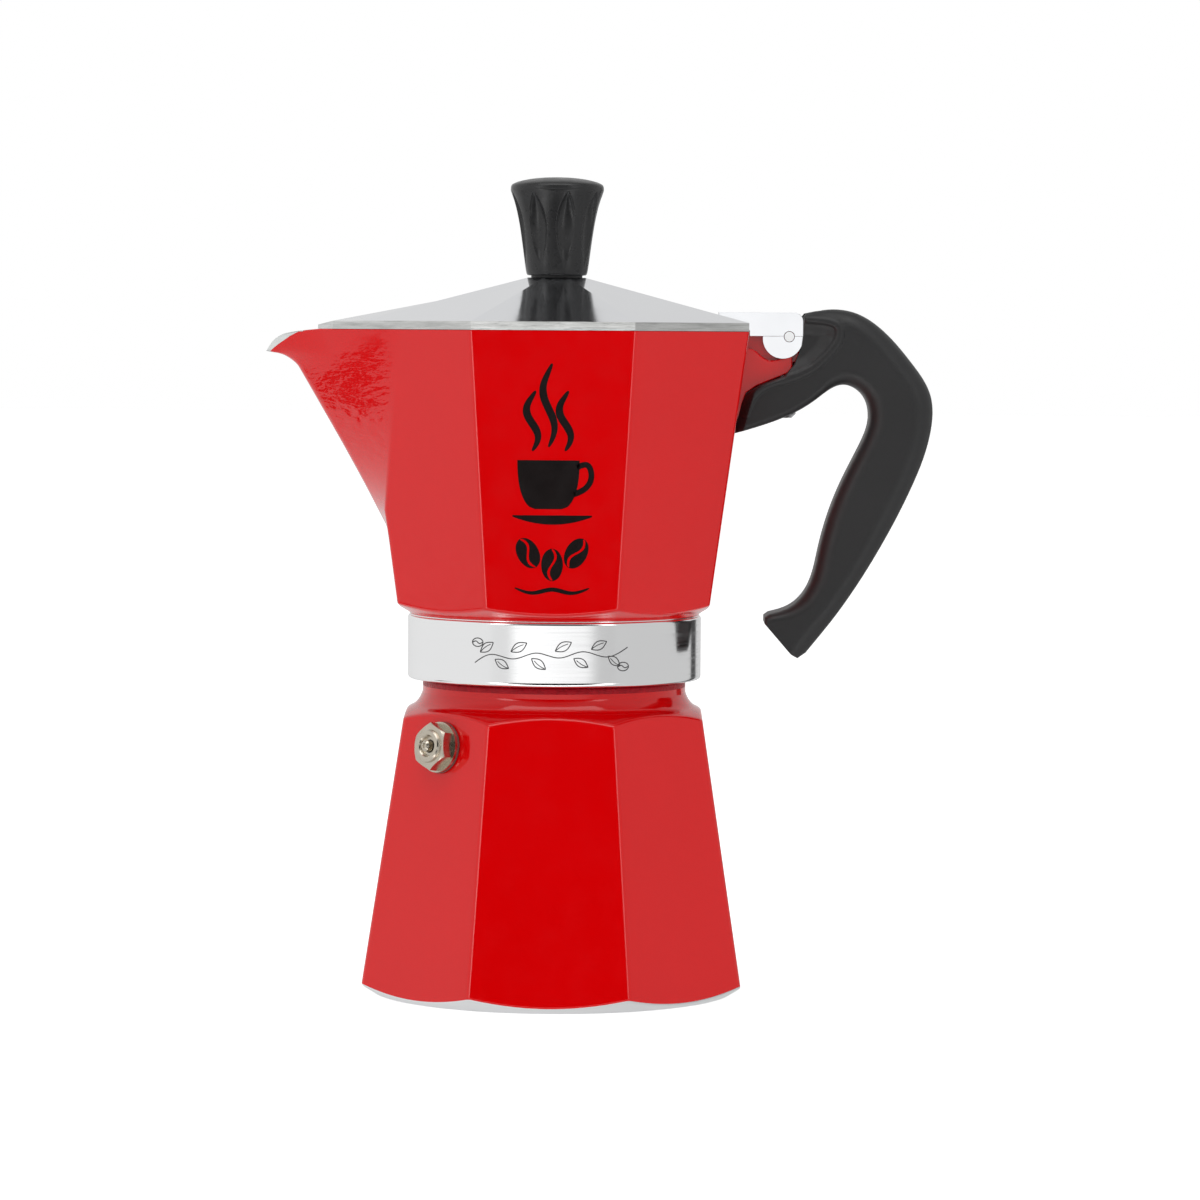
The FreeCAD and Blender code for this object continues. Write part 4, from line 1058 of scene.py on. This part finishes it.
def make_handle():
    """The handle: sections between its front and back lines, a raised bead, a scoop and its pockets."""
    fronts = [pair[0] for pair in HANDLE_PAIRS]
    backs = [pair[1] for pair in HANDLE_PAIRS]
    front_line = np.concatenate([smooth_line(HANDLE_FRONT), straight_line(fronts[-3:])[1:]])
    back_line = np.concatenate(
        [straight_line(backs[:9]), smooth_line(HANDLE_BACK)[1:], straight_line(backs[-3:])[1:]]
    )
    shares = [0.0]
    for k in range(len(HANDLE_PAIRS) - 1):
        longest = max(math.dist(fronts[k], fronts[k + 1]), math.dist(backs[k], backs[k + 1]))
        steps = max(2, round(longest / (0.36 if k < 12 else 0.9)))
        shares += [k + (j + 1) / steps for j in range(steps)]
    shares = np.array(shares)
    front = follow(front_line, fronts, shares)
    back = follow(back_line, backs, shares)
    width = np.linalg.norm(front - back, axis=1)
    last = len(HANDLE_PAIRS) - 1
    back_r = smooth([0, 7, 8, 9.5, 11, 19.5, last], [1.0, 1.0, 1.6, 5.0, 5.5, 5.0, 1.3])(shares)
    front_r = smooth([0, 7, 11, 18, 20, last], [1.6, 2.6, 4.5, 4.5, 2.5, 1.2])(shares)
    back_r = np.minimum(back_r, width * 0.45)
    front_r = np.minimum(front_r, width * 0.45)

    turn = np.linspace(0, math.pi / 2, 9)
    cheek = np.linspace(0, 1, 74)[1:-1]
    across = []
    out = []
    for y in (0.0, 0.5):
        across.append(0 * width)
        out.append(y * (HANDLE_HALF - back_r))
    for a in turn:
        across.append(back_r * (1 - math.cos(a)))
        out.append(HANDLE_HALF - back_r + back_r * math.sin(a))
    for t in cheek:
        across.append(back_r + (width - back_r - front_r) * t)
        out.append(HANDLE_HALF + 0 * width)
    for a in turn[::-1]:
        across.append(width - front_r * (1 - math.cos(a)))
        out.append(HANDLE_HALF - front_r + front_r * math.sin(a))
    across.append(width)
    out.append(0.5 * (HANDLE_HALF - front_r))
    across.append(width)
    out.append(0 * width)
    across = np.array(across).T
    out = np.array(out).T
    count = across.shape[1]

    way = (front - back) / width[:, None]
    flat = back[:, None, :] + way[:, None, :] * across[..., None]
    flat2 = flat.reshape(-1, 2)
    bead_line = smooth_line(BEAD, 3.0)
    scoop_line = straight_line(SCOOP + SCOOP[:1], 3.0)
    near = shares < 13
    mask = np.repeat(near, count)
    lift = np.zeros(len(flat2))
    gap = distance_to(flat2[mask], bead_line)
    bead = BEAD_RISE * np.clip(1 - (gap / BEAD_HALF) ** 2, 0, None) ** 0.8
    sunk = inside(flat2[mask], SCOOP)
    edge = distance_to(flat2[mask], scoop_line)
    open_side = step_between(flat2[mask][:, 0], 60, 62)
    scoop = np.where(sunk, SCOOP_DEPTH * step_between(edge, -0.3, 4.2) * open_side, 0)
    lift[mask] = bead - scoop
    lift = lift.reshape(across.shape) * np.clip(out / HANDLE_HALF, 0, 1) ** 6
    out = out + lift
    start_x, start_z = 49.3, 148.4
    lean = (52.5 - start_x) / (159.8 - start_z)
    behind = start_x + (flat[..., 1] - start_z) * lean - flat[..., 0]
    out = out * (1 - 0.55 * np.clip(behind / 3.4, 0, 1))

    rows = []
    for k in range(len(shares)):
        xz = flat[k]
        side = np.column_stack([xz[:, 0], -out[k], xz[:, 1]])
        other = np.column_stack([xz[1:-1, 0], out[k][1:-1], xz[1:-1, 1]])[::-1]
        rows.append(np.concatenate([side, other]))
    made = shell("handle_body", rows, [BLACK], "pot", [0] * len(rows))
    bm = bmesh.new()
    bm.from_mesh(made.data)
    bmesh.ops.recalc_face_normals(bm, faces=bm.faces[:])
    bm.to_mesh(made.data)
    bm.free()
    pocket = prism("pocket", arc(HINGE_X, HINGE_Z, POCKET_R, 0, 354, 60), POCKET_HALF)
    combine(made, pocket, "DIFFERENCE")
    combine(made, prism("notch", POCKET_NOTCH, POCKET_HALF), "DIFFERENCE")
    foot = prism("foot", [(61.4, 90.0), (55.4, 97.0), (56.9, 98.3), (62.9, 91.3)], HANDLE_HALF - 2.0)
    combine(made, foot, "DIFFERENCE")
    mouth = [(x, y) for x, y in arc(SCREW_X, 0, SCREW_BORE_R, 0, 348.75, 32)]
    combine(made, stacked("bore", [(mouth, 145.0), (mouth, 155.0)]), "DIFFERENCE")
    made.data.materials.clear()
    made.data.materials.append(BLACK)
    shade_smooth(made.data)
    sharpen(made.data, 38)
    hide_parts("handle")


# ---- print and engraving ----


def ribbon(points, widths):
    """Left and right edges of a flat stroke along 2-D points."""
    points = np.array(points, float)
    ahead = np.gradient(points, axis=0)
    ahead /= np.linalg.norm(ahead, axis=1, keepdims=True)
    across = np.column_stack([-ahead[:, 1], ahead[:, 0]]) * (np.asarray(widths)[:, None] / 2)
    return points + across, points - across


class Flat:
    """Flat strokes and shapes gathered into one thin mesh."""

    def __init__(self):
        self.points = []
        self.faces = []

    def stroke(self, points, width, taper=0.0):
        """A line of a width, thinner towards its ends by a taper."""
        points = np.array(points, float)
        share = np.linspace(0, 1, len(points))
        ends = np.minimum(share, 1 - share) * 2
        widths = width * (1 - taper + taper * np.sqrt(np.clip(ends * 1.4, 0, 1)))
        self.lens(*ribbon(points, widths))

    def lens(self, outer, inner):
        """A filled band between two lines of equal counts."""
        base = len(self.points)
        for a, b in zip(outer, inner):
            self.points += [tuple(a), tuple(b)]
        for k in range(base, base + 2 * len(outer) - 2, 2):
            self.faces.append((k, k + 1, k + 3, k + 2))

    def make(self, name, place, material, body):
        """The mesh of it all, laid on the object by place(a, b) and facing forwards."""
        points = [place(a, b) for a, b in self.points]
        made = piece(name, points, self.faces, [material], body)
        bm = bmesh.new()
        bm.from_mesh(made.data)
        bmesh.ops.recalc_face_normals(bm, faces=bm.faces[:])
        for face in bm.faces:
            if face.normal.y > 0:
                face.normal_flip()
        bm.to_mesh(made.data)
        bm.free()
        return made


def curve2(points, per_mm=3.0):
    """Dense points on a smooth line."""
    return smooth_line(points, per_mm)


def bean(flat, x, z, long, wide, lean, gap):
    """A coffee bean: two halves either side of an S-shaped slit."""
    t = np.linspace(-1, 1, 25)
    slit = 0.16 * wide * np.sin(t * math.pi)
    half = wide / 2 * np.sqrt(np.clip(1 - t * t, 0, None))
    turn = np.array([[math.cos(lean), -math.sin(lean)], [math.sin(lean), math.cos(lean)]])
    for side in (-1, 1):
        near = np.column_stack([slit + side * np.minimum(gap / 2, half), t * long / 2])
        far = np.column_stack([side * np.maximum(half, gap / 2), t * long / 2])
        flat.lens(near @ turn.T + (x, z), far @ turn.T + (x, z))


def make_print():
    """A steaming cup over a saucer and three beans, printed on the front facet."""
    flat = Flat()
    z0 = 129.6
    t = np.linspace(0, 1, 24)
    half = 3.4 + 4.6 * np.sqrt(np.clip(1 - (1 - t) ** 2.4, 0, None))
    flat.lens(np.column_stack([-half - 1, z0 + 12.6 * t]), np.column_stack([half - 1, z0 + 12.6 * t]))
    flat.stroke(curve2([(6.3, 140.4), (8.9, 141.0), (10.0, 138.4), (8.7, 135.2), (5.4, 133.4)]), 1.5)
    t = np.linspace(-1, 1, 33)
    low = np.column_stack([t * 10.2, 125.6 + 0.5 * t * t + 1.5 * t**2])
    flat.lens(np.column_stack([t * 10.2, 0 * t + 128.0]), low)
    for x, low_z, high_z in ((-5.2, 144.6, 160.0), (-1.0, 145.6, 167.0), (3.2, 144.6, 160.0)):
        span = high_z - low_z
        wave = [(x + 1.5 * math.sin(s * 2.2 * math.pi), low_z + span * s) for s in np.linspace(0, 1, 9)]
        flat.stroke(curve2(wave), 2.0, 0.85)
    for x, z, lean in ((-6.2, 118.2, 0.5), (0.0, 115.2, 0.0), (6.2, 118.2, -0.5)):
        bean(flat, x, z, 8.4, 5.6, lean, 0.65)
    flat.stroke(curve2([(-9.6, 109.2), (-4.8, 107.9), (0.0, 108.8), (4.8, 107.9), (9.6, 109.2)]), 1.1, 0.8)

    def place(a, b):
        apothem = (POT_BASE_R + POT_FLARE * (b - POT_BASE_Z)) * COS_HALF
        return (a, -apothem - 0.03, b)

    flat.make("front_print", place, INK, "pot")


def make_engraving():
    """A sprig with leaves and beans, marked on the collar band."""
    flat = Flat()
    line = 0.27
    stem = [
        (-21, 89.3), (-16, 91.6), (-10, 90.6), (-4, 92.2), (2, 91.0), (8, 92.6), (14, 91.2), (20.5, 93.6),
    ]
    flat.stroke(curve2(stem), line)
    for x, z, lean, size in (
        (-17.5, 93.4, 0.6, 4.6), (-13.2, 89.2, 2.6, 4.4), (-8.6, 93.6, 0.5, 4.8), (-3.4, 89.4, 2.5, 4.6),
        (3.0, 93.9, 0.5, 4.8), (7.6, 89.7, 2.6, 4.4), (12.4, 94.2, 0.45, 4.6), (16.6, 90.1, 2.5, 4.2),
    ):
        t = np.linspace(0, 1, 15)
        across = np.array([math.cos(lean), math.sin(lean)])
        side = np.array([-across[1], across[0]])
        start = np.array([x, z]) - across * size / 2
        for sign in (-1, 1):
            swell = sign * size * 0.24 * np.sin(t * math.pi)
            flat.stroke(start + np.outer(t * size, across) + np.outer(swell, side), line)
        vein = start + np.outer(t * size * 0.8, across) + np.outer(0.25 * np.sin(t * 3), side)
        flat.stroke(vein, line * 0.8)
    for x, z in ((-20.2, 94.6), (19.2, 88.6)):
        t = np.linspace(0, math.tau, 28)
        flat.stroke(np.column_stack([x + 1.6 * np.cos(t), z + 1.1 * np.sin(t)]), line)
        flat.stroke(curve2([(x - 1.4, z), (x - 0.4, z + 0.3), (x + 0.4, z - 0.3), (x + 1.4, z)]), line)

    def place(a, b):
        radius = COLLAR_R + 0.03
        return (radius * math.sin(a / radius), -radius * math.cos(a / radius), b)

    flat.make("collar_marking", place, MARK, "pot")


# ---- carried nodes ----


def dress_nodes():
    """Gives every carried node its finish."""
    for node, material, slot in (
        ("valve_body", NICKEL, "valve_brass"),
        ("valve_washer", FIBRE, "fibre_washer"),
        ("valve_plunger", NICKEL, "valve_brass"),
        ("plunger_seal", SILICONE, "silicone"),
        ("valve_spring", SPRING, "spring_steel"),
        ("valve_retainer", NICKEL, "valve_brass"),
        ("funnel_basket", SHEET, "bare_aluminium"),
        ("funnel_tube", SHEET, "bare_aluminium"),
        ("funnel_strainer", SHEET, "bare_aluminium"),
        ("gasket", SILICONE, "silicone"),
        ("filter_plate", SHEET, "bare_aluminium"),
        ("riser_column", CAST, "bare_aluminium"),
        ("hinge_pin", BRIGHT, "steel"),
        ("handle_screw", STEEL, "steel"),
        ("knob_spacer", SPACER, "spacer_plastic"),
        ("knob_insert", BRASS, "insert_brass"),
        ("knob_screw", STEEL, "steel"),
    ):
        made = NODES[node]
        made.data.materials.clear()
        made.data.materials.append(material)


# ---- studio ----


def area_light(name, location, size, power, glossy=True):
    """A soft rectangular light aimed at the pot's middle."""
    data = bpy.data.lights.new(name, "AREA")
    data.shape = "RECTANGLE"
    data.size, data.size_y = size
    data.energy = power
    made = bpy.data.objects.new(name, data)
    made.location = location
    made.rotation_euler = (Vector((0, 0, 0.1)) - Vector(location)).to_track_quat("-Z", "Y").to_euler()
    made.visible_glossy = glossy
    made.visible_camera = False
    bpy.context.scene.collection.objects.link(made)


def make_world():
    """Soft panels that light the pot and show in its gloss, with plain white behind it.

    Panels stand at the sides and behind, a level band and two narrow strips in front. Two dark
    gaps between them show on the spout's wall and at the right of the collar.
    """
    world = bpy.data.worlds.new("studio")
    bpy.context.scene.world = world
    sky = Nodes(world)
    between = sky.between

    def times(*values):
        product = values[0]
        for value in values[1:]:
            product = sky.math("MULTIPLY", product, value)
        return product

    x, y, z = sky.axes(sky.add("ShaderNodeTexCoord").outputs["Generated"])
    away = between(y, -0.90, -0.62)
    heights = times(between(z, -0.19, -0.13), between(z, 0.06, 0.12, 1.0, 0.0))
    band = times(between(y, -0.92, -0.80, 1.55, 0.95), heights)
    strips = times(
        between(y, -0.80, -0.75, 0.0, 4.0),
        between(y, -0.65, -0.60, 1.0, 0.0),
        sky.math("ADD", between(z, -0.22, -0.18, 1.0, 0.0), between(z, 0.12, 0.16)),
        between(z, 0.42, 0.5, 1.0, 0.0),
    )
    panels = sky.math("MAXIMUM", sky.math("MAXIMUM", away, band), strips)
    level = between(z, 0.55, 0.85, 0.74, 0.42)
    tilt = between(x, -0.95, 0.95, 1.10, 0.80)
    slant = sky.math("ADD", y, sky.math("MULTIPLY", z, 1.6))
    left_gap = times(
        between(x, -0.86, -0.82, 1.0, 0.0),
        between(z, -0.258, -0.242, 1.0, 0.0),
        between(slant, -0.47, -0.41),
        between(y, 0.26, 0.36, 1.0, 0.0),
    )
    rear_gap = times(
        between(x, 0.48, 0.52),
        between(x, 0.66, 0.70, 1.0, 0.0),
        between(y, 0.2, 0.5),
        between(z, 0.05, 0.12, 1.0, 0.0),
    )
    glow = times(
        times(panels, times(level, tilt)),
        between(left_gap, 0.0, 1.0, 1.0, 0.12),
        between(rear_gap, 0.0, 1.0, 1.0, 0.1),
    )
    mix = sky.add("ShaderNodeMix")
    sky.link(sky.add("ShaderNodeLightPath").outputs["Is Camera Ray"], mix.inputs[0])
    sky.link(glow, mix.inputs[2])
    mix.inputs[3].default_value = 1.0
    back = sky.tree.nodes["Background"]
    back.inputs["Color"].default_value = (1, 1, 1, 1)
    sky.link(mix.outputs[0], back.inputs["Strength"])


def make_floor():
    """A wide pale floor."""
    rows = []
    for z, y in ((0, -3.0), (0, -1.0), (0, 0), (0, 1.0), (0, 2.5), (0, 5.0), (0, 9.0)):
        rows.append([(x, y, z) for x in (-4.0, -1.5, 0.0, 1.5, 4.0)])
    points = [p for row in rows for p in row]
    faces = []
    for r in range(len(rows) - 1):
        for c in range(4):
            faces.append((r * 5 + c, r * 5 + c + 1, r * 5 + c + 6, r * 5 + c + 5))
    glow = {"Emission_Color": (1, 1, 1, 1), "Emission_Strength": 0.62}
    f = Finish("floor_paper", Roughness=0.9, Specular_IOR_Level=0.1, **glow)
    f.colours(f.noise(3.0, 4.0), (0.78, 0.78, 0.78), (0.80, 0.80, 0.80))
    made = piece("floor", np.array(points) / MM, faces, [f.material], None)
    made.visible_glossy = False


def make_camera():
    """A long lens a little right of the front, at the height of the pot's rim."""
    data = bpy.data.cameras.new("camera")
    data.sensor_width = 36.0
    data.lens = 146.9
    data.shift_y = -0.1125
    made = bpy.data.objects.new("camera", data)
    bpy.context.scene.collection.objects.link(made)
    azimuth = math.radians(1.0)
    distance = 1.3
    spot = Vector((distance * math.sin(azimuth), -distance * math.cos(azimuth), 0.1757))
    aim = Vector((0.0118, 0, 0.1398))
    made.location = spot
    look = (aim - spot).to_track_quat("-Z", "Y")
    roll = Matrix.Rotation(math.radians(0.39), 3, "Z")
    made.rotation_euler = (look.to_matrix() @ roll).to_euler()
    bpy.context.scene.camera = made


def make_lights():
    """A fill from the front, two side walls and a top light."""
    area_light("key_fill", (0.15, -1.6, 1.0), (1.6, 1.2), 8, glossy=False)
    area_light("left_wall", (-1.3, -0.35, 0.55), (1.2, 1.2), 2.0, glossy=False)
    area_light("right_wall", (1.3, -0.35, 0.55), (1.2, 1.2), 2.0, glossy=False)
    area_light("top", (0.0, -0.45, 1.4), (1.6, 0.9), 9)


# ---- everything ----

make_boiler()
make_collector()
make_lug()
make_lid()
make_knob()
make_handle()
make_print()
make_engraving()
dress_nodes()
make_world()
make_floor()
make_lights()
make_camera()

scene = bpy.context.scene
scene.view_settings.view_transform = "Standard"
scene.view_settings.look = "None"
